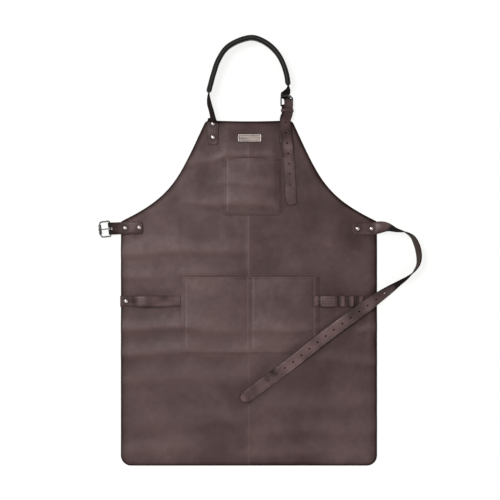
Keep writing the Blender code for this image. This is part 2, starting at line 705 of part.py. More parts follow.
def fold_points(base, outs, acrosses, half_gaps, bar, out, along, across, steps=10):
    """Stations up one leg, round the bar and back down the other."""
    lower = [p - n * h for p, n, h in zip(base, outs, half_gaps)]
    upper = [p + n * h for p, n, h in zip(base, outs, half_gaps)]
    turn = []
    for i in range(1, steps):
        angle = math.pi * i / steps
        turn.append(bar - out * FOLD_RADIUS * math.cos(angle) + along * FOLD_RADIUS * math.sin(angle))
    points = lower + turn + upper[::-1]
    # The across direction reverses with the way, so the legs share one face normal rule.
    sides = acrosses + [across] * len(turn) + acrosses[::-1]
    return points, sides


def folded_strap(name, base, acrosses, half_gaps, bar, width, slot, tip):
    """A short strap folded round a bar, with its two ends rounded."""
    outs = normals(base, acrosses)
    along = directions(base)[-1]
    out, across = outs[-1], acrosses[-1]
    points, sides = fold_points(base, outs, acrosses, half_gaps, bar, out, along, across)
    count = len(points)
    run = lengths(points)
    widths = []
    for i in range(count):
        reach = min(run[i], run[-1] - run[i])
        share = min(1.0, (reach + 0.6 * MM) / tip)
        widths.append(width * (0.45 + 0.55 * math.sqrt(1 - (1 - share) ** 2)))
    obj = add(name, strap_mesh(name, points, sides, widths, STRAP_THICK), STRAP_FINISH)
    frame = Matrix((across, along, out)).transposed().to_4x4()
    place = Matrix.Translation(bar) @ frame

    def slot_shape(builder):
        size = (SLOT_WIDTH, slot + 8 * MM, 20 * MM)
        middle = Matrix.Translation((0, (8 * MM - slot) / 2, 0))
        bmesh.ops.create_cube(builder, matrix=place @ middle @ Matrix.Diagonal((*size, 1)))
    return obj, slot_shape


def make_waist_buckle():
    turn = math.radians(180 + WAIST_FOLD_TURN)
    along = Vector((math.cos(turn), math.sin(turn), 0))
    bar_turn = math.radians(180 + WAIST_BAR_TURN)
    bar_along = Vector((math.cos(bar_turn), math.sin(bar_turn), 0))
    half_pair = (STRAP_THICK + GAP) / 2
    runs = ((79, half_pair), (77.5, half_pair), (75.5, half_pair), (73, half_pair), (60, half_pair),
            (40, half_pair), (28, half_pair), (18, 2.1 * MM), (9, 2.8 * MM), (0, FOLD_RADIUS))
    low_leg = STRAP_MID
    base, acrosses, gaps = [], [], []
    for back, half in runs:
        share = max(0.0, 1 - back / 40)
        way = along.lerp(bar_along, share).normalized()
        place = WAIST_BAR - along * back * MM
        base.append(Vector((place.x, place.y, low_leg + half)))
        acrosses.append(way.cross(UP))
        gaps.append(half)
    bar = Vector((WAIST_BAR.x, WAIST_BAR.y, base[-1].z))
    obj, slot = folded_strap("waist_buckle_strap", base, acrosses, gaps, bar, WAIST_WIDTH, 12 * MM, 9 * MM)
    combine(obj, "cuts", upright(WAIST_BUCKLE_RIVETS, SOCKET_RADIUS) + [slot])
    drop = math.degrees(math.asin((bar.z - ROLLER_RADIUS - 0.1 * MM) / BUCKLE_LENGTH))
    tip = ((8, 3.3), (16, 4.0), (21, 4.9), (25, 5.2), (28.2, 4.6), (29.6, 3.9))
    make_buckle("waist", bar, bar_along.cross(UP), bar_along, drop, tip)


def neck_axes():
    """Across, along and out directions of the neck buckle."""
    roll = math.radians(NECK_ROLL)
    across = Vector((math.cos(roll), 0, -math.sin(roll)))
    along = Vector((0, 1, 0))
    return across, along, across.cross(along)


def neck_fold_route():
    """The middle line of the short neck strap, from its riveted end to the bar."""
    across, along, _ = neck_axes()
    keys = [(x * MM, y * MM, z * MM, -roll, half * MM) for x, y, z, roll, half in NECK_FOLD]
    stations = resample(keys, 4 * MM)
    base = [Vector(s[:3]) for s in stations]
    acrosses = rolled(base, [s[3] for s in stations])
    gaps = [s[4] for s in stations]
    for back, half in ((9, 2.6 * MM), (4.5, 2.95 * MM), (0, FOLD_RADIUS)):
        base.append(NECK_BAR - along * back * MM)
        acrosses.append(across)
        gaps.append(half)
    return base, acrosses, gaps


def make_neck_buckle():
    across, along, _ = neck_axes()
    base, acrosses, gaps = neck_fold_route()
    obj, slot = folded_strap("neck_buckle_strap", base, acrosses, gaps, NECK_BAR, NECK_WIDTH, 6 * MM, NECK_TIP)
    combine(obj, "cuts", upright(NECK_RIGHT_RIVETS, SOCKET_RADIUS) + [slot])
    tip = ((8, 3.25), (16, 3.3), (19, 3.6), (21.5, 4.6), (25, 5.2), (28.2, 4.6), (29.6, 3.9))
    make_buckle("neck", NECK_BAR, across, along, 0, tip)


def make_keeper():
    """The fixed keeper round both legs of the short neck strap and the tail."""
    across, along, out = neck_axes()
    empty = axes_empty("neck_keeper_axes", NECK_BAR, across, along)
    half = NECK_WIDTH / 2 + 3 * GAP
    low, high = -4.9 * MM, 8.6 * MM
    wall = KEEPER_WALL
    outer = [Vector((x, z, 0)) for x, z in ((-half - wall, low - wall), (half + wall, low - wall),
                                            (half + wall, high + wall), (-half - wall, high + wall))]
    mesh = flat_mesh("neck_strap_keeper", outer, -KEEPER_LENGTH / 2, KEEPER_LENGTH)
    mesh.transform(Matrix.Rotation(math.radians(90), 4, "X"))
    obj = add("neck_strap_keeper", mesh, STRAP_FINISH, empty)
    obj.location = Vector((0, KEEPER_PLACE, 0))
    channel = block((-half, -KEEPER_LENGTH, low), (half, KEEPER_LENGTH, high))
    combine(obj, "channel", [channel], place=obj.location)


# ---------------------------------------------------------------- long straps

def trimmed(points, acrosses, at_start, at_end):
    """Moves the end stations in by half a gap, where a strap is divided."""
    if at_start:
        points[0] = points[0] + (points[1] - points[0]).normalized() * GAP / 2
    if at_end:
        points[-1] = points[-1] + (points[-2] - points[-1]).normalized() * GAP / 2
    return points, acrosses


def make_waist_strap():
    points, acrosses = route(WAIST_ROUTE)
    back = list(reversed(points)), list(reversed(acrosses))
    start, turns, widths = round_tip(back[0], back[1], 9 * MM, 0.45 * WAIST_WIDTH, WAIST_WIDTH, 4)
    start, turns, widths = start[::-1], turns[::-1], widths[::-1]
    start, turns = trimmed(start, turns, False, True)
    obj = add("waist_strap", strap_mesh("waist_strap", start, turns, widths, STRAP_THICK), STRAP_FINISH)
    tail, tail_turns = route(WAIST_TAIL_ROUTE, 2 * STATION_STEP)
    tail_length = lengths(tail)[-1]
    first = WAIST_FIRST_HOLE + WAIST_HOLES_TAIL * HOLE_PITCH - tail_length
    holes = holes_along(start, turns, first, WAIST_HOLES_CURL)
    combine(obj, "holes", upright(WAIST_RIVETS, SOCKET_RADIUS) + holes)
    tail_holes = holes_along(tail, tail_turns, WAIST_FIRST_HOLE, WAIST_HOLES_TAIL)
    points, turns, widths = round_tip(tail, tail_turns, WAIST_TIP_LENGTH, 9 * MM, WAIST_WIDTH, 1)
    points, turns = trimmed(points, turns, True, False)
    mesh = strap_mesh("waist_strap_tail", points, turns, widths, STRAP_THICK)
    obj = add("waist_strap_tail", mesh, STRAP_FINISH)
    combine(obj, "holes", tail_holes)


def make_pads(points, turns):
    """The two halves of the nape pad, which follow the strap between them."""
    first, last = (Vector(NECK_ARCH[i][:3]) * MM for i in (0, -1))
    start = min(range(len(points)), key=lambda i: (points[i] - first).length)
    end = min(range(len(points)), key=lambda i: (points[i] - last).length) + 1
    outs = normals(points, turns)
    offset = STRAP_THICK / 2 + GAP + PAD_THICK / 2
    widths = [PAD_WIDTH] * (end - start)
    widths[0] = widths[-1] = 0.86 * PAD_WIDTH
    for name, side in (("neck_pad_outer", 1), ("neck_pad_inner", -1)):
        line = [points[i] + outs[i] * offset * side for i in range(start, end)]
        add(name, strap_mesh(name, line, turns[start:end], widths, PAD_THICK), PAD_FINISH)


def make_neck_strap():
    across, along, out = neck_axes()
    rise, rise_turns = route(NECK_RISE + NECK_ARCH)
    # Through the buckle and the keeper the strap stays square to them.
    held = NECK_THREAD + ((0, NECK_TAIL_LIFT / MM), (KEEPER_PLACE / MM - 5, NECK_TAIL_LIFT / MM))
    thread = [NECK_BAR + along * y * MM + out * z * MM for y, z in held]
    keys = [(*(Vector(key[:3]) * MM), key[3], 0) for key in (NECK_ARCH[-1], *NECK_TWIST)]
    keys += [(*place, NECK_ROLL, 1) for place in thread]
    keys += [(*(Vector(key[:3]) * MM), key[3], 0) for key in (*NECK_TAIL_UPPER, NECK_TAIL[0])]
    stations = resample(keys, 3 * MM)
    down = [Vector(s[:3]) for s in stations]
    down_turns = [a.lerp(-across, s[4]) for a, s in zip(rolled(down, [s[3] for s in stations]), stations)]
    divide = NECK_TAIL[:2]
    way = (Vector(divide[1][:3]) - Vector(divide[0][:3])).normalized()
    down.insert(-1, down[-1] - way * MM)
    down_turns.insert(-1, down_turns[-1])
    down_turns[-2:] = rolled([down[-1], down[-1] + way], [divide[0][3]] * 2)
    down_turns = [(a - way * a.dot(way)).normalized() for a, way in zip(down_turns, directions(down))]
    points, turns = rise + down[1:], rise_turns + down_turns[1:]
    make_pads(points, turns)
    points, turns, widths = round_tip(points[::-1], turns[::-1], NECK_TIP, 0.4 * NECK_WIDTH, NECK_WIDTH, 4)
    points, turns, widths = points[::-1], turns[::-1], widths[::-1]
    points, turns = trimmed(points, turns, False, True)
    obj = add("neck_strap", strap_mesh("neck_strap", points, turns, widths, STRAP_THICK), STRAP_FINISH)
    middle = NECK_BAR + along * NECK_SLOT_PLACE + out * NECK_SLOT_LIFT
    slot = drill(middle, along, NECK_SLOT_RADIUS, NECK_SLOT_LENGTH, 12, (out, 1.5))
    combine(obj, "holes", upright(NECK_LEFT_RIVETS, SOCKET_RADIUS) + [slot])

    tail, tail_turns = route(NECK_TAIL)
    holes = holes_along(tail, tail_turns, NECK_FIRST_HOLE, NECK_HOLES)
    points, turns, widths = round_tip(tail, tail_turns, 10 * MM, 0.3 * NECK_WIDTH, NECK_WIDTH, 5)
    points, turns = trimmed(points, turns, True, False)
    mesh = strap_mesh("neck_strap_tail", points, turns, widths, STRAP_THICK)
    obj = add("neck_strap_tail", mesh, STRAP_FINISH)
    combine(obj, "holes", holes)


# ---------------------------------------------------------------- the apron

clear_scene()
PARTS = collection("welding_apron")
CUTTERS = collection("cutters", hidden=True)
LEATHER_FINISH = material("waxed_leather", LEATHER, 0.55)
STRAP_FINISH = material("strap_leather", STRAP_LEATHER, 0.5)
PAD_FINISH = material("pad_leather", PAD_LEATHER, 0.6)
NICKEL_FINISH = material("nickel", NICKEL, 0.25, 1.0)
PEWTER_FINISH = material("pewter", PEWTER, 0.35, 1.0)

RIVETS = (
    ("neck_left_rivet_upper", NECK_LEFT_RIVETS[0], STRAP_TOP),
    ("neck_left_rivet_lower", NECK_LEFT_RIVETS[1], STRAP_TOP),
    ("neck_right_rivet_upper", NECK_RIGHT_RIVETS[0], PAIR_TOP),
    ("neck_right_rivet_lower", NECK_RIGHT_RIVETS[1], PAIR_TOP),
    ("waist_left_rivet_outer", WAIST_BUCKLE_RIVETS[0], PAIR_TOP),
    ("waist_left_rivet_inner", WAIST_BUCKLE_RIVETS[1], PAIR_TOP),
    ("waist_right_rivet_outer", WAIST_RIVETS[0], STRAP_TOP),
    ("waist_right_rivet_inner", WAIST_RIVETS[1], STRAP_TOP),
    ("towel_loop_rivet", TOWEL_RIVET, LOOP_TOP),
    ("tool_loops_rivet", TOOL_RIVET, LOOP_TOP),
)

make_panel([place for _, place, _ in RIVETS])
make_pocket("bib_pocket", **BIB_POCKET)
make_pocket("lower_pocket", **LOWER_POCKET)
make_loops()
make_plate()
for rivet_name, rivet_place, leather_top in RIVETS:
    make_rivet(rivet_name, rivet_place, leather_top)
make_waist_buckle()
make_waist_strap()
make_neck_buckle()
make_keeper()
make_neck_strap()
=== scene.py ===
import math

import bmesh
import bpy
import numpy as np
from mathutils import Matrix, Vector, noise


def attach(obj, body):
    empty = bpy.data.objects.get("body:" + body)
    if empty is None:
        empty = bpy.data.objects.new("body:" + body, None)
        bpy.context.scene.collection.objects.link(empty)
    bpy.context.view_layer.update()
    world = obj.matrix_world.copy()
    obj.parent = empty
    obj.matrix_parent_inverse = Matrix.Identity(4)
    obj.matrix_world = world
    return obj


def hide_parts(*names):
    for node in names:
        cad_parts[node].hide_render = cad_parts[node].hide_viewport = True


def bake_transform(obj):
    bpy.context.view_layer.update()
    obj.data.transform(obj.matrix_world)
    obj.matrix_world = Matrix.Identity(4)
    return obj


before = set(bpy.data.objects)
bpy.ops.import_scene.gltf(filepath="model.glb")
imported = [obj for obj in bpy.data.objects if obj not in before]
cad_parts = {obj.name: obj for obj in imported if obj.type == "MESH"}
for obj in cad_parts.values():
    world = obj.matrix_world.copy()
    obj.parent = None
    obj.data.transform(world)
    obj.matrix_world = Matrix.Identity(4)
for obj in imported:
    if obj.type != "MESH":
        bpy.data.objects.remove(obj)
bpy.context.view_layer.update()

MM = 0.001
UP = Vector((0, 0, 1))

# Leather thicknesses, and the gap between pieces that touch
PANEL_THICK = 2.2 * MM
STRAP_THICK = 2.6 * MM
LOOP_THICK = 2.2 * MM
POCKET_THICK = 1.8 * MM
PAD_THICK = 5.1 * MM
GAP = 0.3 * MM
ON_PANEL = PANEL_THICK + GAP
STRAP_MID = ON_PANEL + STRAP_THICK / 2
STRAP_TOP = ON_PANEL + STRAP_THICK
PAIR_TOP = ON_PANEL + 2 * STRAP_THICK + GAP
LOOP_TOP = ON_PANEL + LOOP_THICK

# Panel, in mm
HALF_WIDTH = 314.0
HALF_HEIGHT = 423.3
HEM_RADIUS = 25.0
BIB_HALF_WIDTH = 98.0
ARMHOLE = ((314, 175.4), (186.8, 236.3), (172.7, 278.9), (109.5, 415))
BIB_CORNER = ((107.2, 418.4), (104.0, 421.0), (101.2, 422.4), (BIB_HALF_WIDTH, HALF_HEIGHT))
BIB_DIP = 2.5
PANEL_STITCH_INSET = 12.5
PANEL_STITCH_PITCH = 4.3
BIB_STITCH_INSET = 8.0

# Straps. A hole's pitch and first place are along the strap, from its end.
WAIST_WIDTH = 30 * MM
NECK_WIDTH = 27 * MM
PAD_WIDTH = 38 * MM
LOOP_WIDTH = 26.6 * MM
HOLE_RADIUS = 2.2 * MM
HOLE_PITCH = 25.4 * MM
STEP = 3 * MM

# Buckles
WIRE_RADIUS = 1.5 * MM
BUCKLE_HALF_WIDTH = 18.5 * MM
BUCKLE_LENGTH = 25 * MM
TOE_CORNER = 6 * MM
BAR_CORNER = 3 * MM
ROLLER_RADIUS = 3.4 * MM
ROLLER_BORE = 1.9 * MM
ROLLER_LENGTH = 24 * MM
PRONG_EYE = 3.25 * MM
PRONG_RADIUS = 1.4 * MM
PRONG_TAPER = 0.45 * MM
# Prongs past the eye: (along, height) in mm from the bar
WAIST_PRONG = ((8, 3.3), (16, 4.0), (21, 4.9), (25, 5.2), (28.2, 4.6), (29.6, 3.9))
NECK_PRONG = ((8, 3.25), (16, 3.3), (19, 3.6), (21.5, 4.6), (25, 5.2), (28.2, 4.6), (29.6, 3.9))
FOLD_RADIUS = 3.1 * MM
SLOT_WIDTH = 4.6 * MM
# How far back from the bar the prong's slot reaches: in both legs, and in the upper leg, over which
# the waist buckle's prong swings
WAIST_SLOTS = (5 * MM, 13 * MM)
NECK_SLOTS = (6 * MM,)

# Rivets: profiles of (radius, height) in mm, the cap's from the leather it sits on
SOCKET_RADIUS = 1.8 * MM
FOOT_RADIUS = 4.6 * MM
FOOT_DEPTH = 1.3 * MM
CAP_DOME = (
    (0, 2.0), (0.6, 1.98), (1.3, 1.86), (2.0, 1.62), (2.7, 1.24), (3.2, 0.84), (3.6, 0.56), (3.9, 0.5),
    (4.15, 0.4), (4.25, 0.25), (4.15, 0.08), (4.0, 0.0), (1.8, 0.0), (1.8, 1.45), (0, 1.45),
)
POST_FOOT = ((1.5, 1.0), (4.0, 1.0), (4.2, 0.8), (4.2, 0.3), (4.0, 0.15), (0, 0.15))

# Routes are (x, y, height of the middle, roll in degrees), and tone spots (x, y, radius, how much lighter or
# darker), in mm; the spots paint wear, and painted highlights and painted shade.
WAIST_BAR = Vector((-340, 157.6, 7.0)) * MM
WAIST_BAR_TURN = 6.0
WAIST_FOLD_TURN = 2.0
WAIST_BUCKLE_RIVETS = ((-303.4, 159.2), (-269.0, 160.4))
# Painted shade over the fold round the bar and just behind it, and a lighter spot between the rivets.
WAIST_SHORT_SHADE_AND_WEAR = (
    (-342, 148, 7, -0.8), (-342, 157, 7, -0.8), (-342, 167, 7, -0.8), (-332, 150, 8, -0.55),
    (-332, 165, 8, -0.55), (-322, 150, 7, -0.5), (-322, 165, 7, -0.5), (-310, 150, 5, -0.3),
    (-310, 166, 5, -0.3), (-286, 160, 8, 0.3),
)
WAIST_RIVETS = ((300.2, 157.6), (266.3, 157.4))
WAIST_ROUTE = (
    (253.0, 157.4, 3.8, 0), (280.0, 157.4, 3.8, 0), (300.0, 157.6, 3.8, 0), (309.0, 158.8, 4.3, 3),
    (322.0, 161.2, 8.5, 20), (337.0, 161.4, 12.6, 44), (359.0, 154.4, 15.2, 70), (383.8, 148.0, 16.0, 90),
    (399.6, 137.2, 16.0, 101), (408.4, 121.4, 15.8, 108), (413.6, 104.5, 15.8, 109), (415.6, 86.2, 15.9, 106),
    (413.4, 70.3, 16.0, 98), (404.6, 54.9, 16.0, 90), (389.8, 40.1, 15.8, 78), (367.0, 24.3, 15.4, 64),
    (343.4, 8.2, 14.8, 46), (315.8, -11.0, 14.2, 28), (290.8, -29.3, 13.4, 12), (264.8, -48.0, 12.6, 3),
)
WAIST_TAIL_ROUTE = (
    (264.8, -48.0, 12.6, 3), (248.6, -59.7, 11.4, 0), (221.7, -79.3, 9.0, 0), (193.1, -101.0, 8.4, 0),
    (169.5, -119.0, 9.4, 0), (144.2, -139.2, 7.6, 0), (117.3, -161.2, 6.2, 0), (86.0, -185.5, 3.8, 0),
    (50.0, -212.3, 3.8, 0), (15.0, -238.1, 3.8, 0), (0.0, -249.1, 4.5, 0), (-12.0, -257.0, 7.4, 0),
    (-19.5, -261.6, 10.6, 0),
)
WAIST_FIRST_HOLE = 83 * MM
WAIST_HOLES = 15
# Spots on the tail: wear, painted highlights along it and at its lifted tip, and a few spots of painted
# shade.
WAIST_WEAR_AND_LIGHT = (
    (226, -76, 16, 0.6), (206, -94, 13, 0.6), (182, -105, 15, 0.8), (158, -130, 15, 0.4),
    (138, -140, 15, 0.8), (112, -164, 16, 0.6), (90, -180, 14, 0.8), (66, -200, 16, 0.4),
    (30, -227, 20, 0.4), (-16, -260, 8, 1.2),
    (300, -20, 16, 0.2), (124, -171, 11, 1.1), (106, -185, 10, 1.0), (211, -69, 11, 0.9), (297, -41, 11, 0.9),
    (187, -96, 10, 0.7), (60, -196, 9, -0.8), (44, -210, 8, -0.5), (262, -42, 14, -0.4),
)

NECK_LEFT_RIVETS = ((-88.6, 414.7), (-88.6, 381.5))
NECK_RIGHT_RIVETS = ((88.6, 414.7), (88.6, 381.5))
NECK_RISE = (
    (-88.8, 363.5, 3.8, 0), (-88.6, 381.5, 3.8, 0), (-88.6, 405.0, 3.8, 0), (-88.6, 418.0, 3.8, 0),
    (-88.3, 420.0, 6.6, 12), (-88.1, 422.2, 11.6, 36), (-88.2, 425.6, 14.0, 57), (-89.0, 432.0, 14.6, 65),
    (-90.8, 440.0, 15.4, 67), (-93.2, 449.0, 16.2, 68), (-95.8, 458.0, 16.8, 68), (-97.6, 467.5, 17.5, 71),
    (-98.4, 477.5, 18.7, 77),
)
# Painted shade on the left strap where it rises on edge from the bib.
NECK_LEFT_SHADE = ((-89, 429, 7, -0.9), (-92, 441, 9, -1.1), (-95, 456, 12, -1.2), (-98, 474, 14, -1.2))
NECK_ARCH = (
    (-97.8, 490.5, 19.7, 86), (-92.9, 512.2, 19.7, 86), (-86.4, 535.6, 19.7, 86), (-75.0, 567.9, 19.7, 86),
    (-55.5, 597.0, 19.7, 86), (-24.4, 615.6, 19.7, 86), (9.4, 622.8, 19.7, 86), (42.2, 610.0, 19.7, 86),
    (69.8, 584.0, 19.7, 86), (86.7, 550.4, 19.7, 86), (93.4, 524.9, 19.7, 86), (95.4, 508.5, 19.7, 85),
)
NECK_TWIST = ((95.7, 502.5, 18.9, 81), (93.9, 496.5, 16.9, 69), (91.2, 491.0, 13.8, 56))
NECK_BAR = Vector((92.3, 455.8, 15.4)) * MM
NECK_ROLL = 40.0
NECK_THREAD = ((29.5, -6.1), (24.0, -5.9), (20.4, -3.6), (19.0, 0.6), (17.0, 4.4), (13.0, 6.5), (7.0, 6.8))
NECK_FOLD = (
    (88.6, 364.0, 5.25, 0, 1.45), (88.6, 385.0, 5.25, 0, 1.45), (88.6, 420.0, 5.25, 0, 1.45),
    (88.8, 424.0, 5.8, 3, 1.55), (89.8, 429.0, 8.6, 14, 1.75), (91.3, 434.5, 12.6, 30, 2.0),
    (92.3, 439.5, 15.4, 40, 2.2),
)
NECK_TAIL_LIFT = 6.75
NECK_TAIL_UPPER = (
    (95.9, 437.5, 20.4, 39), (93.4, 431.5, 19.2, 36), (90.7, 425.0, 17.4, 31), (89.1, 419.0, 16.2, 27),
)
NECK_TAIL = (
    (88.8, 413.0, 15.2, 23), (88.8, 406.0, 14.8, 21), (89.8, 395.0, 14.1, 17), (91.6, 381.0, 13.1, 12.5),
    (93.6, 364.0, 11.3, 7), (95.6, 347.0, 6.5, 2), (97.4, 331.0, 3.9, 0), (99.4, 300.0, 3.8, 0),
    (101.4, 260.0, 3.8, 0), (103.6, 216.0, 3.8, 0),
)
# Spots on the right strap: a painted highlight where it bends down to the bib, painted shade by the twist,
# and wear.
NECK_RIGHT_WEAR_AND_LIGHT = (
    (94, 357, 10, 0.9), (98, 322, 16, 0.4), (103, 240, 22, 0.1), (88, 392, 16, -0.3), (93, 500, 9, -0.8),
)
NECK_FIRST_HOLE = 50 * MM
NECK_HOLES = 7
KEEPER_PLACE = -10.3 * MM
KEEPER_LENGTH = 7 * MM
KEEPER_WALL = 1.2 * MM

# Pockets and loops, in mm. A lip highlight is a stretch of the lip painted lighter, as a highlight: (x, half
# width, how much).
SEAM = 13.0
BIB_POCKET = {"centre": (6.2, 259.7), "size": (145, 140), "bays": 1, "rise": 4.8,
              "lip_highlights": ((-6, 16, 1.1), (58, 9, 0.5))}
LOWER_POCKET = {"centre": (3.1, -55.1), "size": (341, 189), "bays": 2, "rise": 5.4,
                "lip_highlights": ((-90, 34, 0.5), (70, 30, 0.5), (150, 12, 0.5))}
POCKET_CORNER = 9.0
POCKET_STITCH_INSETS = (3.2, 10.4)
POCKET_STITCH_PITCH = 4.0
MIDDLE_SEAM_HALF = 3.2
LOOP_CENTRE_Y = -20.4
TOWEL_RIVET = (-301.5, -20.4)
TOOL_RIVET = (301.5, -20.4)
TOWEL_PROFILE = (
    (-315.5, 0), (-309, 0), (-290, 0), (-282, 1.6), (-268, 5.6), (-250, 7.4), (-230, 6.4), (-208, 3.0),
    (-190, 0.8), (-180, 0), (-168.2, 0),
)
TOOL_TAB = (157.0, 171.0)
TOOL_WIDE_LOOP = (171.0, 215.0, 4.6)
WIDE_LOOP_GROOVES = ((180, 208, (-6.0, 0.0, 6.0)),)
TOOL_LOOPS = ((216.5, 236.5), (239.5, 259.5), (262.5, 282.5))
TOOL_LOOP_RISE = 5.4
TOOL_END = 313.0
LOOP_SEAMS_ON_PANEL = (-174.5, -171.5, 215.0, 238.0, 261.0, 284.5)
LOOP_SEAMS_ON_POCKET = (169.5, 172.5)

PLATE_CENTRE = Vector((1.8, 380.2, 0)) * MM
PLATE_SIZE = (57.8, 19.6)
PLATE_PIN = 24.0

# The crease where the apron was folded down its middle: places up the panel and its height there, in mm
CREASE_PLACES = (-320, -200, -150, -140, 35, 55, 170, 190, 320, 335, 360)
CREASE_HEIGHTS = (0.5, 0.9, 1.0, 0.4, 0.4, 2.1, 2.1, 0.35, 0.35, 1.4, 1.4)
CREASE_X = -0.6
# Soft folds in the panel: where the crest runs, how wide it is and how high, in mm
FOLDS = (
    (-175, 316, -75, 330, 13, 4.0), (-70, 338, 80, 344, 9, 2.6), (-58, 268, 76, 270, 12, 2.8),
    (-125, 222, 85, 214, 13, 4.2), (-320, 98, -50, 106, 15, 4.0), (-150, 50, -50, 52, 12, 2.4),
    (-320, 46, -250, 40, 12, 2.4), (-320, -84, -180, -84, 14, 5.4), (-165, -86, 90, -92, 14, 2.6),
    (90, -90, 320, -84, 10, 3.0), (-320, -147, -10, -142, 15, 5.0), (-10, -142, 110, -150, 15, 2.8),
    (200, -160, 320, -166, 15, 2.6), (-320, -212, -60, -204, 20, 2.4), (60, -276, 320, -262, 20, 2.0),
    (-250, -318, -40, -306, 24, 1.8), (40, -338, 300, -330, 18, 2.2), (-300, -388, -150, -380, 16, 2.2),
    (20, -392, 240, -384, 16, 2.2), (130, 60, 300, 78, 26, 1.8), (-60, 128, 10, 236, 30, 1.4),
)
TAIL_ON_PANEL = (268, -52, -22, -262)
# Places that hold the panel down: lines from (x, y) to (x, y) with a radius, in mm
HELD = (
    (-345, 158, -262, 160.5, 19), (250, 157.4, 325, 157.4, 19), (-88.7, 362, -88.7, 428, 17),
    (88.6, 362, 88.6, 428, 17), (94, 350, 103.6, 214, 17), (-22, 380.2, 26, 380.2, 13),
    (-318, -20.4, -168, -20.4, 14), (157, -20.4, 316, -20.4, 15), (*TAIL_ON_PANEL, 18),
)


# ---------------------------------------------------------------- camera and light

camera_data = bpy.data.cameras.new("camera")
camera_data.lens = 100
camera_data.sensor_width = 36
camera = bpy.data.objects.new("camera", camera_data)
camera.location = (0.0025, 0.1053, 3.407)
bpy.context.scene.collection.objects.link(camera)
bpy.context.scene.camera = camera
bpy.context.scene.view_settings.view_transform = "Standard"


def area_light(name, place, aim, size, power):
    data = bpy.data.lights.new(name, "AREA")
    data.shape = "RECTANGLE"
    data.size, data.size_y = size
    data.energy = power
    lamp = bpy.data.objects.new(name, data)
    lamp.location = place
    lamp.rotation_euler = (Vector(aim) - Vector(place)).to_track_quat("-Z", "Y").to_euler()
    bpy.context.scene.collection.objects.link(lamp)


area_light("key", (-1.9, 1.5, 4.0), (0.0, 0.0, 0), (1.9, 1.6), 140)
area_light("fill", (1.9, -1.3, 3.4), (0.0, 0.0, 0), (1.8, 1.8), 24)

world = bpy.data.worlds.new("studio")
bpy.context.scene.world = world
world.use_nodes = True
world.node_tree.nodes["Background"].inputs["Color"].default_value = (1.0, 0.985, 0.97, 1)
world.node_tree.nodes["Background"].inputs["Strength"].default_value = 0.40


# ---------------------------------------------------------------- materials

class Graph:
    """A small wrapper for building a material's nodes."""

    def __init__(self, name):
        self.material = bpy.data.materials.new(name)
        self.material.use_nodes = True
        self.tree = self.material.node_tree
        self.shader = self.tree.nodes["Principled BSDF"]
        self.coords = self.node("ShaderNodeTexCoord").outputs["Object"]

    def node(self, kind, **settings):
        made = self.tree.nodes.new(kind)
        for key, value in settings.items():
            setattr(made, key, value)
        return made

    def put(self, socket, value):
        """Sets a socket to a number or a colour, or links it to another node's output."""
        if isinstance(value, (int, float)):
            socket.default_value = value
        elif isinstance(value, tuple):
            socket.default_value = (*value, 1)
        else:
            self.tree.links.new(value, socket)

    def shade(self, **values):
        """Sets the shader's sockets: base_color for "Base Color", and so on."""
        for key, value in values.items():
            name = key.replace("_", " ").title().replace("Ior", "IOR")
            self.put(self.shader.inputs[name], value)

    def stretched(self, scale):
        mapping = self.node("ShaderNodeMapping")
        mapping.inputs["Scale"].default_value = scale
        self.put(mapping.inputs["Vector"], self.coords)
        return mapping.outputs["Vector"]

    def noise(self, scale, detail=3.0, rough=0.5, distortion=0.0, vector=None):
        made = self.node("ShaderNodeTexNoise")
        for key, value in (("Scale", scale), ("Detail", detail), ("Roughness", rough),
                           ("Distortion", distortion), ("Vector", vector or self.coords)):
            self.put(made.inputs[key], value)
        return made.outputs["Fac"]

    def cells(self, scale):
        made = self.node("ShaderNodeTexVoronoi")
        self.put(made.inputs["Scale"], scale)
        self.put(made.inputs["Vector"], self.coords)
        return made.outputs["Distance"]

    def span(self, value, low, high, to_low, to_high):
        made = self.node("ShaderNodeMapRange")
        for key, number in (("From Min", low), ("From Max", high), ("To Min", to_low), ("To Max", to_high),
                            ("Value", value)):
            self.put(made.inputs[key], number)
        return made.outputs["Result"]

    def ramp(self, value, stops):
        made = self.node("ShaderNodeValToRGB")
        ramp = made.color_ramp
        while len(ramp.elements) < len(stops):
            ramp.elements.new(0.5)
        for element, (place, colour) in zip(ramp.elements, stops):
            element.position = place
            element.color = (*colour, 1)
        self.put(made.inputs["Fac"], value)
        return made.outputs["Color"]

    def mix(self, share, a, b):
        made = self.node("ShaderNodeMix", data_type="RGBA")
        for key, value in (("Factor", share), (6, a), (7, b)):
            self.put(made.inputs[key], value)
        return made.outputs[2]

    def attribute(self, name):
        return self.node("ShaderNodeAttribute", attribute_name=name).outputs["Fac"]

    def bump(self, heights):
        """Heights from coarse to fine: (value, depth in metres, strength)."""
        normal = None
        for value, depth, strength in heights:
            made = self.node("ShaderNodeBump")
            for key, part in (("Strength", strength), ("Distance", depth), ("Height", value)):
                self.put(made.inputs[key], part)
            if normal:
                self.put(made.inputs["Normal"], normal)
            normal = made.outputs["Normal"]
        self.shade(normal=normal)


def scaled(colour, share):
    return tuple(c * share for c in colour)


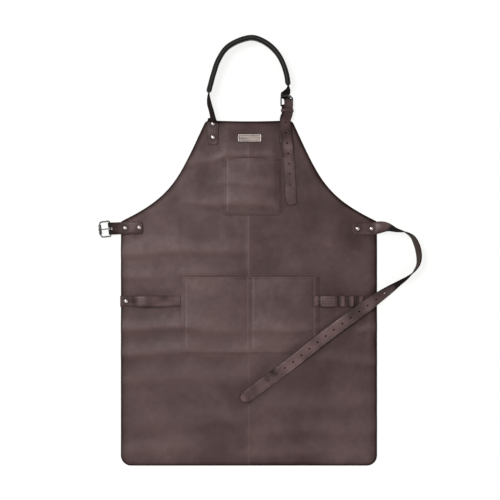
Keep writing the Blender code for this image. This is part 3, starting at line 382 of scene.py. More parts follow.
def leather(name, colour, light, rough=(0.42, 0.58), patches=6.0, grain=1.0, specular=0.35,
            wear_and_light=None, dark=None):
    """Waxed, dyed leather: cloudy dye, scuffs, pores and fine wrinkles.

    The mesh's tone attribute makes it paler (1) and darker (-1): it carries wear and random tone, and painted
    highlights and painted shade as well.
    """
    g = Graph(name)
    dye = g.noise(patches, 4, 0.55, 0.6)
    scuffs = g.noise(70, 6, 0.68, 0.3)
    specks = g.noise(900, 3, 0.6)
    body = g.ramp(dye, ((0.3, scaled(colour, 0.78)), (0.5, colour), (0.72, light)))
    body = g.mix(g.span(scuffs, 0.42, 0.72, 0.0, 0.4), body, scaled(colour, 0.66))
    body = g.mix(g.span(specks, 0.5, 0.75, 0.0, 0.22), body, scaled(light, 1.25))
    tone_level = g.attribute("tone")
    # High tone mixes in the colour of wear and painted highlights, low tone the colour of painted shade.
    body = g.mix(g.span(tone_level, 0.0, 1.0, 0.0, 0.6), body, wear_and_light or scaled(light, 1.5))
    body = g.mix(g.span(tone_level, 0.0, -1.0, 0.0, 0.9), body, dark or scaled(colour, 0.2))
    # Grain is duller where the tone is low: where it is unworn, and where shade is painted.
    g.shade(base_color=body, specular_ior_level=g.span(tone_level, -0.8, 0.1, 0.0, specular),
            roughness=g.span(scuffs, 0.3, 0.7, *rough))
    pores = g.cells(620)
    wrinkles = g.noise(160, 5, 0.6, 0.8)
    g.bump(((wrinkles, 0.0012 * grain, 0.22), (pores, 0.0007 * grain, 0.28), (specks, 0.0003, 0.2)))
    return g.material


def edge_finish(name, colour, rough=0.65):
    """A cut edge, dyed and burnished, with the fibres showing as fine streaks."""
    g = Graph(name)
    streaks = g.noise(500, 4, 0.6, vector=g.stretched((0.35, 0.35, 2.2)))
    g.shade(base_color=g.ramp(streaks, ((0.3, scaled(colour, 0.6)), (0.7, scaled(colour, 1.7)))),
            roughness=g.span(streaks, 0.3, 0.7, rough - 0.1, rough + 0.12), specular_ior_level=0.06)
    g.bump(((streaks, 0.0004, 0.35),))
    return g.material


def flesh_finish(name, colour):
    """The suede-like back of the leather."""
    g = Graph(name)
    nap = g.noise(420, 6, 0.75, 0.4)
    cloud = g.noise(14, 3, 0.5)
    body = g.ramp(cloud, ((0.3, scaled(colour, 0.8)), (0.7, scaled(colour, 1.2))))
    body = g.mix(g.span(nap, 0.35, 0.7, 0.0, 0.5), body, scaled(colour, 0.55))
    g.shade(base_color=body, roughness=g.span(nap, 0.3, 0.7, 0.75, 0.92), specular_ior_level=0.15)
    g.bump(((nap, 0.0008, 0.5),))
    return g.material


def metal(name, colour, rough, brushed=None, tarnish=0.35):
    """Plated or cast metal with fine scratches and a little tarnish."""
    g = Graph(name)
    grain = g.noise(240 if brushed else 380, 5, 0.7, vector=g.stretched(brushed) if brushed else None)
    cloud = g.noise(90, 4, 0.6, 0.5)
    body = g.mix(g.span(cloud, 0.45, 0.75, 0.0, tarnish), colour, scaled(colour, 0.5))
    g.shade(base_color=body, metallic=1.0, roughness=g.span(grain, 0.3, 0.7, *rough))
    g.bump(((cloud, 0.0002, 0.25), (grain, 0.00012, 0.25)))
    return g.material


def thread_finish(name, colour):
    """Waxed thread with its twist."""
    g = Graph(name)
    twist = g.noise(1400, 3, 0.6)
    g.shade(base_color=g.ramp(twist, ((0.3, scaled(colour, 0.6)), (0.7, scaled(colour, 1.3)))),
            roughness=g.span(twist, 0.3, 0.7, 0.5, 0.7))
    g.bump(((twist, 0.0002, 0.4),))
    return g.material


PANEL_COLOUR = (0.080, 0.045, 0.043)
PANEL_LIGHT = (0.112, 0.067, 0.065)
STRAP_COLOUR = (0.070, 0.037, 0.036)
STRAP_LIGHT = (0.112, 0.066, 0.065)

PANEL_LEATHER = leather("waxed leather", PANEL_COLOUR, PANEL_LIGHT)
STRAP_LEATHER = leather("strap leather", STRAP_COLOUR, STRAP_LIGHT, (0.33, 0.47), 22.0, 0.7,
                        dark=(0.016, 0.0145, 0.0135))
PAD_LEATHER = leather("pad leather", (0.007, 0.0062, 0.006), (0.013, 0.0115, 0.011), (0.45, 0.6), 30.0, 0.8,
                      specular=0.12, wear_and_light=(0.055, 0.052, 0.048))
EDGE = edge_finish("dyed edge", (0.008, 0.006, 0.0055))
# The pockets' cut edges are lighter than the panel's: painted light that takes the shade off their rims.
SOFT_EDGE = edge_finish("pocket edge", (0.105, 0.061, 0.058))
FLESH = flesh_finish("flesh side", (0.055, 0.038, 0.030))
NICKEL = metal("nickel plate", (0.80, 0.71, 0.69), (0.28, 0.38))
BUCKLE_METAL = metal("worn nickel", (0.066, 0.072, 0.066), (0.2, 0.32))
PEWTER = metal("brushed pewter", (0.56, 0.48, 0.44), (0.4, 0.52), (0.06, 3.0, 1.0), 0.25)
# Near-black metal on the plate's outer bevel, painted as the shadow round the plate; it is on the slope down
# to the field too.
PLATE_EDGE_SHADE = metal("darkened edge", (0.022, 0.018, 0.016), (0.5, 0.62), None, 0.3)
ROLLER_METAL = metal("rolled nickel", (0.075, 0.082, 0.075), (0.3, 0.42))
PEWTER_DARK = metal("plate field", (0.30, 0.255, 0.235), (0.5, 0.62), (0.06, 3.0, 1.0), 0.3)
THREAD = thread_finish("waxed thread", (0.095, 0.063, 0.056))
PAD_THREAD = thread_finish("pad thread", (0.03, 0.026, 0.024))


# ---------------------------------------------------------------- routes

def resample(keys, step):
    """Stations on a smooth curve through the keys: tuples whose first three values are a place.

    Heights and what follows them never pass the keys' own values.
    """
    rows = [tuple(float(v) for v in key) for key in keys]
    spans = [max(1e-9, math.dist(a[:3], b[:3])) for a, b in zip(rows, rows[1:])]

    def slope(i, k):
        if i == 0:
            return (rows[1][k] - rows[0][k]) / spans[0]
        if i == len(rows) - 1:
            return (rows[-1][k] - rows[-2][k]) / spans[-1]
        before = (rows[i][k] - rows[i - 1][k]) / spans[i - 1]
        after = (rows[i + 1][k] - rows[i][k]) / spans[i]
        if k >= 2:
            return 2 * before * after / (before + after) if before * after > 0 else 0.0
        return (before * spans[i] + after * spans[i - 1]) / (spans[i - 1] + spans[i])

    made = [rows[0]]
    for i, span in enumerate(spans):
        parts = max(1, math.ceil(span / step))
        for j in range(1, parts + 1):
            t = j / parts
            h = (2 * t ** 3 - 3 * t * t + 1, t ** 3 - 2 * t * t + t, 3 * t * t - 2 * t ** 3, t ** 3 - t * t)
            made.append(tuple(h[0] * rows[i][k] + h[1] * span * slope(i, k)
                              + h[2] * rows[i + 1][k] + h[3] * span * slope(i + 1, k)
                              for k in range(len(rows[0]))))
    return made


def directions(points):
    """The direction of the line at each point."""
    ends = [points[0]] + points + [points[-1]]
    return [(ends[i + 2] - ends[i]).normalized() for i in range(len(points))]


def rolled(points, rolls):
    """The across direction at each point. A positive roll lowers the left edge and raises the right."""
    made = []
    for way, roll in zip(directions(points), rolls):
        level = Vector((way.x, way.y, 0)).cross(UP).normalized()
        across = level * math.cos(math.radians(roll)) + UP * math.sin(math.radians(roll))
        made.append((across - way * across.dot(way)).normalized())
    return made


def normals(points, acrosses):
    """The outward direction at each point, square to the line and to the across direction."""
    return [across.cross(way).normalized() for across, way in zip(acrosses, directions(points))]


def line_of(stations):
    """Points and across directions of stations (place, roll)."""
    points = [Vector(s[:3]) for s in stations]
    return points, rolled(points, [s[3] for s in stations])


def route(keys, step=STEP):
    """Points and across directions along a route of (x, y, height, roll) keys."""
    stations = resample([(x * MM, y * MM, z * MM, roll) for x, y, z, roll in keys], step)
    return line_of(stations)


def nearest(points, place):
    """The index of the point nearest to a place."""
    return min(range(len(points)), key=lambda i: (points[i] - place).length)


def run_along(points):
    """The distance along the line at each point."""
    made = [0.0]
    for a, b in zip(points, points[1:]):
        made.append(made[-1] + (b - a).length)
    return made


def place_at(points, distance):
    """The place at a distance along the points, and the index of the stretch it is in."""
    run = run_along(points)
    for i in range(len(points) - 1):
        if run[i + 1] >= distance:
            return points[i].lerp(points[i + 1], (distance - run[i]) / (run[i + 1] - run[i])), i
    return points[-1], len(points) - 2


def fine_tip(points, acrosses, tip):
    """Closer stations over the last stretch, so that its outline can be shaped."""
    run = run_along(points)
    total = run[-1]
    kept = [i for i, s in enumerate(run) if s < total - tip - 0.2 * MM]
    made = [points[i] for i in kept]
    turns = [acrosses[i] for i in kept]
    for j in range(17):
        place, i = place_at(points, total - tip * (1 - math.sin(math.pi / 2 * j / 16)))
        made.append(place)
        turns.append(acrosses[min(i + 1, len(acrosses) - 1)])
    return made, turns


def tip_widths(points, width, tip, end_share, at_start=None, start_share=None, clipped=False):
    """Widths along the points, with the end (and the start) rounded or clipped."""
    run = run_along(points)
    made = []
    for s in run:
        value = width
        left = run[-1] - s
        if left < tip:
            share = left / tip
            curve = share if clipped else math.sqrt(max(0.0, 1 - (1 - share) ** 2))
            value = width * (end_share + (1 - end_share) * curve)
        if at_start and s < at_start:
            share = s / at_start
            value = width * (start_share + (1 - start_share) * math.sqrt(max(0.0, 1 - (1 - share) ** 2)))
        made.append(value)
    return made


# ---------------------------------------------------------------- meshes

def show(name, mesh, *materials):
    """A new object in the scene."""
    obj = bpy.data.objects.new(name, mesh)
    bpy.context.scene.collection.objects.link(obj)
    for finish in materials:
        mesh.materials.append(finish)
    return obj


def finish_mesh(name, verts, faces, kinds=None, tones=None, angle=45):
    """A smooth mesh, sharp past an angle: kinds are its faces' materials, tones its points' wear."""
    mesh = bpy.data.meshes.new(name)
    mesh.from_pydata([tuple(v) for v in verts], [], faces)
    mesh.validate()
    if kinds:
        mesh.polygons.foreach_set("material_index", kinds)
    if tones is not None:
        layer = mesh.attributes.new("tone", "FLOAT", "POINT")
        layer.data.foreach_set("value", [float(t) for t in tones])
    mesh.shade_smooth()
    mesh.set_sharp_from_angle(angle=math.radians(angle))
    mesh.update()
    return mesh


def join_meshes(name, parts, finishes):
    """One mesh from lists of (verts, faces)."""
    verts, faces = [], []
    for part_verts, part_faces in parts:
        base = len(verts)
        verts += part_verts
        faces += [tuple(i + base for i in face) for face in part_faces]
    return show(name, finish_mesh(name, verts, faces), *finishes)


def wobble(place, size, seed):
    """Smooth noise from -1 to 1 at a place, with features about size across."""
    return noise.noise(Vector((place[0] / size + seed, place[1] / size - seed, place[2] / size)))


def strap_section(half, thick):
    """Points (across, out, kind of the face after it) round a strap: grain 0, edge 1, flesh 2."""
    crown, groove = 0.15 * MM, 0.25 * MM
    r = min(0.95 * MM, thick * 0.4)
    low = 0.45 * MM
    top = thick / 2
    line = 2.4 * MM
    made = []
    spots = (half - r, half - line + 0.5 * MM, half - line, half - line - 0.5 * MM, half * 0.62, half * 0.45,
             half * 0.3, half * 0.15, 0.0)
    for spot in spots + tuple(-s for s in reversed(spots[:-1])):
        rise = crown * (1 - (spot / half) ** 2)
        dip = groove if abs(abs(spot) - (half - line)) < 0.05 * MM and half > 5 * MM else 0.0
        made.append((spot, top + rise - dip, 0))
    c, s = math.cos(math.radians(45)), math.sin(math.radians(45))
    made += [(-half + r - r * s, top - r + r * c, 1), (-half, top - r, 1), (-half, -top + low, 1),
             (-half + low * 0.3, -top + low * 0.3, 1), (-half + low, -top, 2)]
    made += [(-half * 0.5, -top, 2), (0.0, -top, 2), (half * 0.5, -top, 2), (half - low, -top, 1)]
    made += [(half - low * 0.3, -top + low * 0.3, 1), (half, -top + low, 1), (half, top - r, 1),
             (half - r + r * s, top - r + r * c, 0)]
    return made


def tone_at(place, spots):
    """How much lighter or darker a place is: the sum of soft round spots (x, y, radius, amount) in mm, which
    stand for wear, painted highlights and painted shade.
    """
    return sum(amount * math.exp(-((place.x / MM - x) ** 2 + (place.y / MM - y) ** 2) / radius ** 2)
               for x, y, radius, amount in spots)


def skin(count, size):
    """The faces between count rings of size points, and the two ends."""
    faces = []
    for a in range(0, (count - 1) * size, size):
        b = a + size
        for i in range(size):
            n = (i + 1) % size
            faces.append((b + i, b + n, a + n, a + i))
    return faces + [tuple(range(size)), tuple(reversed(range((count - 1) * size, count * size)))]


def inside_out(faces):
    return [tuple(reversed(face)) for face in faces]


def loft(name, points, acrosses, widths, thick, seed, tone_level, spots=(), grooves=(), under=FLESH):
    """A strip of leather along a route, with rounded edges, a creased line inside each and soft wear.

    Where it stands on edge it is painted darker, as shade, and its creased lines and grooves are
    painted darker, as the shade in them. A groove is (first x, last x, places across) in mm.
    """
    verts, tones = [], []
    outs = normals(points, acrosses)
    for point, across, out, width in zip(points, acrosses, outs, widths):
        half = width / 2 * (1 + 0.006 * wobble(point, 18 * MM, seed))
        section = strap_section(half, thick)
        # Painted shade where the strip stands on edge
        edge_on_shade = 1.5 * float(smooth_between(0.22, 0.6, 1 - abs(out.z)))
        for u, v, _ in section:
            lift = 0.1 * MM * wobble(point + across * u, 11 * MM, seed + 3)
            shade = 0.0
            # A groove is pressed in and painted darker, as the shade in it.
            for first, last, lines in grooves:
                if v > 0 and first < point.x / MM < last:
                    dent = sum(math.exp(-((u / MM - line) / 0.9) ** 2) for line in lines)
                    lift -= 0.7 * MM * dent
                    shade -= 0.9 * dent
            verts.append(point + across * u + out * (v + lift))
            mark = wobble(point + across * u, 26 * MM, seed + 7) * tone_level
            mark += tone_at(point + across * u * 0.8, spots) - edge_on_shade + shade
            # The creased line inside each edge is painted darker, as the shade in it.
            near = abs(abs(u) - (half - 2.4 * MM)) < 0.6 * MM
            tones.append(mark - (0.25 if near else 0.0))
    kinds = [k for _, _, k in section] * (len(points) - 1) + [1, 1]
    mesh = finish_mesh(name, verts, skin(len(points), len(section)), kinds, tones)
    return show(name, mesh, STRAP_LEATHER, EDGE, under)


def cutter_round(centre, axis, radius, depth, sides=20, stretch=None):
    """A round cutter along an axis, which stretch makes (factor) times wider in one direction."""
    builder = bmesh.new()
    turn = axis.to_track_quat("Z", "Y").to_matrix().to_4x4()
    bmesh.ops.create_cone(builder, cap_ends=True, segments=sides, radius1=radius, radius2=radius, depth=depth,
                          matrix=turn)
    if stretch:
        direction, factor = stretch
        for vert in builder.verts:
            vert.co += direction * (vert.co.dot(direction) * (factor - 1))
    bmesh.ops.translate(builder, verts=builder.verts, vec=centre)
    return builder


def sockets(rivets):
    """Cutters for the rivets' holes through a strap."""
    return [cutter_round(Vector((x, y, 5)) * MM, UP, SOCKET_RADIUS, 22 * MM) for x, y in rivets]


def cutter_steps(centre, profile, sides=24):
    """A turned cutter from (radius, height) pairs that run upwards."""
    builder = bmesh.new()
    rings = []
    for radius, height in profile:
        rings.append([builder.verts.new(centre + Vector((radius * math.cos(math.tau * i / sides),
                                                         radius * math.sin(math.tau * i / sides), height)))
                      for i in range(sides)])
    for a, b in zip(rings, rings[1:]):
        for i in range(sides):
            n = (i + 1) % sides
            builder.faces.new((a[i], a[n], b[n], b[i]))
    builder.faces.new(reversed(rings[0]))
    builder.faces.new(rings[-1])
    return builder


def carve(obj, builders):
    """Cuts shapes out of obj for good. The walls of the cuts take the dyed edge."""
    whole = bmesh.new()
    for builder in builders:
        part = bpy.data.meshes.new("part")
        bmesh.ops.recalc_face_normals(builder, faces=builder.faces)
        builder.to_mesh(part)
        builder.free()
        whole.from_mesh(part)
        bpy.data.meshes.remove(part)
    for face in whole.faces:
        face.material_index = 1
    mesh = bpy.data.meshes.new("cutter")
    whole.to_mesh(mesh)
    whole.free()
    tool = show("cutter", mesh, *obj.data.materials)
    boolean = obj.modifiers.new("cut", "BOOLEAN")
    boolean.operation = "DIFFERENCE"
    boolean.solver = "EXACT"
    boolean.object = tool
    bpy.context.view_layer.update()
    made = bpy.data.meshes.new_from_object(obj.evaluated_get(bpy.context.evaluated_depsgraph_get()))
    obj.modifiers.clear()
    obj.data = made
    bpy.data.objects.remove(tool, do_unlink=True)


def tube(points, radii, sides=14, cyclic=False):
    """Verts and faces of a wire with round ends, whose radius may change."""
    count = len(points)
    ways = []
    for i in range(count):
        before = points[i - 1] if i or cyclic else points[0]
        after = points[(i + 1) % count] if i < count - 1 or cyclic else points[-1]
        ways.append((after - before).normalized())
    side = ways[0].orthogonal().normalized()
    verts, faces = [], []
    for point, way, radius in zip(points, ways, radii):
        side = (side - way * side.dot(way)).normalized()
        other = way.cross(side)
        for i in range(sides):
            angle = math.tau * i / sides
            verts.append(point + (side * math.cos(angle) + other * math.sin(angle)) * radius)
    rings = count if cyclic else count - 1
    for j in range(rings):
        a, b = j * sides, ((j + 1) % count) * sides
        shift = 0
        if cyclic and j == count - 1:
            shift = min(range(sides), key=lambda k: (verts[b + k] - verts[a]).length)
        for i in range(sides):
            n = (i + 1) % sides
            faces.append((a + i, a + n, b + (n + shift) % sides, b + (i + shift) % sides))
    if not cyclic:
        faces.append(tuple(reversed(range(sides))))
        faces.append(tuple(range((count - 1) * sides, count * sides)))
    return verts, faces


def turned(profile, sides=40, closed=False):
    """Verts and faces of a (radius, height) profile turned about +Z. It runs down the outer side."""
    verts, rings, faces = [], [], []
    for radius, height in profile:
        if radius < 1e-7:
            rings.append([len(verts)] * sides)
            verts.append(Vector((0, 0, height)))
        else:
            rings.append(list(range(len(verts), len(verts) + sides)))
            turns = [math.tau * i / sides for i in range(sides)]
            verts += [Vector((radius * math.cos(a), radius * math.sin(a), height)) for a in turns]
    pairs = list(zip(rings, rings[1:])) + ([(rings[-1], rings[0])] if closed else [])
    for a, b in pairs:
        for i in range(sides):
            n = (i + 1) % sides
            loop = []
            for index in (a[i], b[i], b[n], a[n]):
                if index not in loop:
                    loop.append(index)
            if len(loop) > 2:
                faces.append(tuple(loop))
    return verts, faces


def moved(part, matrix):
    """Verts and faces moved by a matrix."""
    verts, faces = part
    return [matrix @ v for v in verts], faces


# ---------------------------------------------------------------- stitches

STITCH_LENGTH = 3.1 * MM
STITCH_RADIUS = 0.36 * MM
# Shares of the length along it, and of the radius for its height and its thickness
STITCH_SHAPE = (
    (-0.5, -0.35, 0.55), (-0.36, 0.25, 0.9), (-0.12, 0.62, 1.0), (0.12, 0.62, 1.0), (0.36, 0.25, 0.9),
    (0.5, -0.35, 0.55),
)


def sew(name, places, ways, ups, thread):
    """Small sewn stitches: each a short thread that rises out of the leather and goes back in."""
    parts = []
    for place, way, up in zip(places, ways, ups):
        points = [place + way * (share * STITCH_LENGTH) + up * (rise * STITCH_RADIUS)
                  for share, rise, _ in STITCH_SHAPE]
        parts.append(tube(points, [STITCH_RADIUS * size for _, _, size in STITCH_SHAPE], 6))
    return join_meshes(name, parts, [thread])


def spaced(line, pitch):
    """Places and ways at an even pitch along a list of points."""
    run = run_along(line)
    count = max(1, int(run[-1] / pitch))
    gap = run[-1] / count
    places, ways = [], []
    i = 0
    for k in range(count):
        distance = (k + 0.5) * gap
        while run[i + 1] < distance:
            i += 1
        way = (line[i + 1] - line[i]).normalized()
        places.append(line[i] + way * (distance - run[i]))
        ways.append(way)
    return places, ways


# ---------------------------------------------------------------- the panel's shape

def bezier_points(handles, steps):
    """Points on one cubic curve."""
    a, b, c, d = (np.array(h, dtype=float) for h in handles)
    t = np.linspace(0, 1, steps + 1)[:, None]
    return a * (1 - t) ** 3 + 3 * b * (1 - t) ** 2 * t + 3 * c * (1 - t) * t * t + d * t ** 3


def smooth_between(low, high, value):
    share = np.clip((value - low) / (high - low), 0, 1)
    return share * share * (3 - 2 * share)


def held_down(x, y, soft=22.0):
    """0 where a piece lies on the panel, up to 1 where the leather is free."""
    made = np.ones_like(x)
    for x0, y0, x1, y1, radius in HELD:
        dx, dy = x1 - x0, y1 - y0
        t = np.clip(((x - x0) * dx + (y - y0) * dy) / (dx * dx + dy * dy), 0, 1)
        away = np.hypot(x - x0 - t * dx, y - y0 - t * dy)
        made = made * smooth_between(radius, radius + soft, away)
    return made


def cloud(x, y, size, seed):
    """Soft noise over a grid of places, with features about size across."""
    flat = [noise.fractal(Vector((a / size + seed, b / size, seed)), 0.6, 2.0, 3)
            for a, b in zip(np.ravel(x), np.ravel(y))]
    return np.array(flat).reshape(np.shape(x))


def folds(x, y):
    """How far the panel stands off the floor, in mm, before it is held down."""
    made = 0.75 + 0.8 * cloud(x, y, 95.0, 3.3) + 0.25 * cloud(x, y, 28.0, 8.1)
    for x0, y0, x1, y1, wide, high in FOLDS:
        length = math.hypot(x1 - x0, y1 - y0)
        dx, dy = (x1 - x0) / length, (y1 - y0) / length
        along = (x - x0) * dx + (y - y0) * dy
        side = (y - y0) * dx - (x - x0) * dy
        side = side + 3.0 * np.sin(along / 34.0 + x0)
        past = np.maximum(0, np.maximum(-along, along - length))
        width = np.where(side > 0, 1.35 * wide, 0.75 * wide)
        made = made + 0.7 * high * np.exp(-(side / width) ** 2) * np.exp(-(past / (2.4 * wide)) ** 2)
    share = smooth_between(-320, -200, y) * (1 - smooth_between(352, 372, y))
    high = np.interp(y, CREASE_PLACES, CREASE_HEIGHTS)
    made = made + high * np.exp(-np.abs(x - CREASE_X) / 13.0) * share
    made = made - 0.35 * np.exp(-((x - 12.0) / 1.6) ** 2) * smooth_between(322, 326, y) * share
    return np.maximum(made, 0.0)


def lift(x, y):
    """How far the panel stands off the floor, in mm."""
    x, y = np.asarray(x, dtype=float), np.asarray(y, dtype=float)
    return folds(x, y) * held_down(x, y)


def panel_half_width():
    """Tables of y and half width up the panel, in mm."""
    ys, ws = [], []
    for i in range(17):
        angle = math.pi / 2 * i / 16
        ys.append(-HALF_HEIGHT + HEM_RADIUS * (1 - math.cos(angle)))
        ws.append(HALF_WIDTH - HEM_RADIUS * (1 - math.sin(angle)))
    side = bezier_points(ARMHOLE, 160)
    ys += [float(p[1]) for p in side]
    ws += [float(p[0]) for p in side]
    ys += [p[1] for p in BIB_CORNER]
    ws += [p[0] for p in BIB_CORNER]
    return np.array(ys), np.array(ws)


def columns(half, insets, middle, spread):
    """Places across a row: fixed ones by the middle, even ones beyond, and close ones at the edge."""
    inner = middle[-1]
    outer = half - insets[-1]
    right = list(middle) + [inner + (outer - inner) * (i + 1) / spread for i in range(spread)]
    right += [half - inset for inset in reversed(insets[:-1])]
    return [-x for x in reversed(right)] + [0.0] + right


def ring_of(rows, cols):
    """The indices round the edge of a grid, in order."""
    made = list(range(cols)) + [j * cols + cols - 1 for j in range(1, rows)]
    made += [(rows - 1) * cols + i for i in range(cols - 2, -1, -1)]
    return made + [j * cols for j in range(rows - 2, 0, -1)]


def outline_of(x, y):
    """The places round the edge of a grid."""
    ring = ring_of(*x.shape)
    return np.stack((np.ravel(x)[ring], np.ravel(y)[ring]), axis=1)


def outline_distance(x, y, line, batch=2000):
    """The distance from each place to a closed outline, in mm."""
    way = np.roll(line, -1, axis=0) - line
    squared = np.maximum(1e-9, (way ** 2).sum(1))
    best = np.empty(x.shape)
    for start in range(0, len(x), batch):
        part = slice(start, start + batch)
        dx, dy = x[part, None] - line[:, 0], y[part, None] - line[:, 1]
        t = np.clip((dx * way[:, 0] + dy * way[:, 1]) / squared, 0, 1)
        best[part] = np.hypot(dx - t * way[:, 0], dy - t * way[:, 1]).min(axis=1)
    return best


def rounding(edge, radius):
    """How much a rounded edge takes off the thickness at a distance from the edge."""
    return np.where(edge < radius, radius - np.sqrt(np.maximum(0, radius ** 2 - (radius - edge) ** 2)), 0)


def shell(name, x, y, base, thick, edge, tone, paint=0.5, share=1.0, radius=0.95):
    """A sheet of leather over a grid of places in mm: base is its underside, edge the distance to its edge.

    Paint is how far in the edge's finish reaches, share how much of its thickness is left at each
    place, and radius rounds its upper edge.
    """
    rows, cols = x.shape
    top = np.stack((x, y, base + thick * share - rounding(edge, radius)), axis=-1).reshape(-1, 3) * MM
    bottom = np.stack((x, y, base + rounding(edge, 0.4)), axis=-1).reshape(-1, 3) * MM
    verts = np.concatenate((top, bottom))
    faces, kinds = [], []
    shift = rows * cols
    rim = edge < paint
    for j in range(rows - 1):
        for i in range(cols - 1):
            a = j * cols + i
            b = a + cols
            faces.append((a, a + 1, b + 1, b))
            kinds.append(1 if rim[j:j + 2, i:i + 2].sum() > 2 else 0)
            faces.append((shift + a, shift + b, shift + b + 1, shift + a + 1))
            kinds.append(2)
    ring = ring_of(rows, cols)
    for a, b in zip(ring, ring[1:] + ring[:1]):
        faces.append((a, shift + a, shift + b, b))
        kinds.append(1)
    tones = np.concatenate((np.ravel(tone), np.ravel(tone)))
    return finish_mesh(name, verts, faces, kinds, tones, 60)


def in_box(x, y, x0, x1, y0, y1):
    return x0 < x < x1 and y0 < y < y1


def covered(x, y):
    """Whether a strap or a loop hides the panel at this place, in mm."""
    if in_box(abs(x), y, 250, 330, 141, 177) or in_box(abs(x), y, 73, 104, 358, 440):
        return True
    if any(in_box(x, y, *box) for box in ((78, 119, 205, 370), (262, 330, -35, -6), (-330, -270, -35, -6))):
        return True
    x0, y0, x1, y1 = TAIL_ON_PANEL
    dx, dy = x1 - x0, y1 - y0
    t = ((x - x0) * dx + (y - y0) * dy) / (dx ** 2 + dy ** 2)
    return -0.2 < t < 1.02 and abs((x - x0) * dy - (y - y0) * dx) / math.hypot(dx, dy) < 17


def make_panel():
    """The panel, a grid that follows its outline, with the rivets' and plate's holes, and its stitches."""
    table_y, table_w = panel_half_width()
    low = [0, 0.35, 0.9, 2.0, 3.6, 6.0, 9.0, 12.5, 16.5, 20.5, 25.0]
    rows = [-HALF_HEIGHT + v for v in low]
    high = [415.0, 417.0, 419.0, 420.6, 421.9, 422.8, 423.3]
    count = round((high[0] - rows[-1]) / 4.0)
    start = rows[-1]
    rows += [start + (high[0] - start) * (i + 1) / count for i in range(count)] + high[1:]
    middle = [0.6, 1.3, 2.2, 3.4, 5.0, 7.5, 10.0, 12.0, 14.0, 17.5]
    insets = (0.0, 0.35, 0.9, 1.7, 3.5, 7.5)
    x, y = [], []
    for row in rows:
        half = float(np.interp(row, table_y, table_w))
        line = columns(half, insets, middle, 70)
        x.append(line)
        dip = BIB_DIP * float(smooth_between(395, HALF_HEIGHT, row))
        y.append([row - dip * max(0.0, 1 - (c / BIB_HALF_WIDTH) ** 2) for c in line])
    x, y = np.array(x), np.array(y)
    border = outline_of(x, y)
    near = np.zeros(x.shape, dtype=bool)
    near[:12, :] = near[-12:, :] = True
    near[:, :8] = near[:, -8:] = True
    edge = np.full(x.shape, 50.0)
    edge[near] = outline_distance(x[near], y[near], border)
    stand = lift(x, y)
    tone = 0.14 * (stand - 1.6) - 1.2 * np.exp(-edge / 3.0) - 0.4 * np.exp(-edge / 12.0)
    # A painted highlight along the crease down the middle
    tone = tone + 0.5 * np.exp(-np.abs(x - CREASE_X)) * (1 - smooth_between(350, 372, y)) * (stand > 0.2)
    # Painted shade, darker towards the right, and random tone
    tone = tone - 0.0006 * x + 0.15 * cloud(x, y, 60.0, 5.7)
    # Painted light towards the lower right
    tone = tone + 0.25 * smooth_between(60, 260, x) * (1 - smooth_between(-330, -150, y))
    mesh = shell("leather_panel", x, y, stand + 0.05, PANEL_THICK / MM - 0.05, edge, tone, 1.8)
    obj = show("leather_panel", mesh, PANEL_LEATHER, EDGE, FLESH)
    # Each rivet's foot is drawn into the back.
    steps = [(FOOT_RADIUS, -2 * MM), (FOOT_RADIUS, FOOT_DEPTH),
             (SOCKET_RADIUS, FOOT_DEPTH), (SOCKET_RADIUS, 6 * MM)]
    tools = [cutter_steps(Vector((px * MM, py * MM, 0)), steps) for px, py in RIVET_PLACES]
    for side in (-1, 1):
        centre = Vector((PLATE_CENTRE.x + side * PLATE_PIN * MM, PLATE_CENTRE.y, 0))
        tools.append(cutter_round(centre, UP, 1.3 * MM, 12 * MM))
    carve(obj, tools)

    def surface(px, py):
        return Vector((px, py, float(lift(px, py)) + PANEL_THICK / MM)) * MM

    # A row of stitches all round, set in from the edge
    fine = border[::2]
    way = np.roll(fine, -1, axis=0) - np.roll(fine, 1, axis=0)
    inward = np.stack((-way[:, 1], way[:, 0]), axis=1)
    inward /= np.linalg.norm(inward, axis=1)[:, None]
    ring = []
    for (px, py), (nx, ny) in zip(fine, inward):
        share = float(smooth_between(150, 185, py))
        inset = PANEL_STITCH_INSET + (BIB_STITCH_INSET - PANEL_STITCH_INSET) * share
        place = Vector((px + nx * inset, py + ny * inset, 0))
        if not ring or (place - ring[-1]).length >= 0.8:
            ring.append(place)
    places, ways = spaced(ring + ring[:1], PANEL_STITCH_PITCH)
    spots, runs = [], []
    for place, way in zip(places, ways):
        if not covered(place.x, place.y) and not over_pocket(place.x, place.y):
            spots.append(surface(place.x, place.y))
            runs.append(way)
    return obj, sew("panel_stitching", spots, runs, [UP] * len(spots), THREAD)


def over_pocket(x, y):
    """Whether a pocket hides the panel at this place, in mm."""
    for spec in (BIB_POCKET, LOWER_POCKET):
        (cx, cy), (w, h) = spec["centre"], spec["size"]
        if in_box(x, y, cx - w / 2, cx + w / 2, cy - h / 2, cy + h / 2):
            return True
    return False


# ---------------------------------------------------------------- pockets

def pocket_rise(spec, x, y):
    """How far the pocket's leather stands off the panel, in mm, at places measured from its middle."""
    width, height = spec["size"]
    bays = spec["bays"]
    bay = (width - 2 * SEAM - (bays - 1) * SEAM) / bays
    inside = np.zeros_like(x)
    for k in range(bays):
        start = -width / 2 + SEAM + k * (bay + SEAM)
        share = np.clip((x - start) / bay, 0, 1)
        inside = np.maximum(inside, np.sin(np.pi * share) ** 0.5)
    depth = np.clip((y + height / 2 - SEAM) / (height - SEAM) / 0.34, 0, 1)
    depth = np.sin(np.pi / 2 * depth) ** 0.9
    crumple = 1 + 0.10 * cloud(x, y, 34.0, 2.2 + bays) + 0.08 * cloud(x, y, 90.0, 4.2 + bays) - 0.1
    return inside * depth * spec["rise"] * np.clip(crumple, 0.6, 1.0)


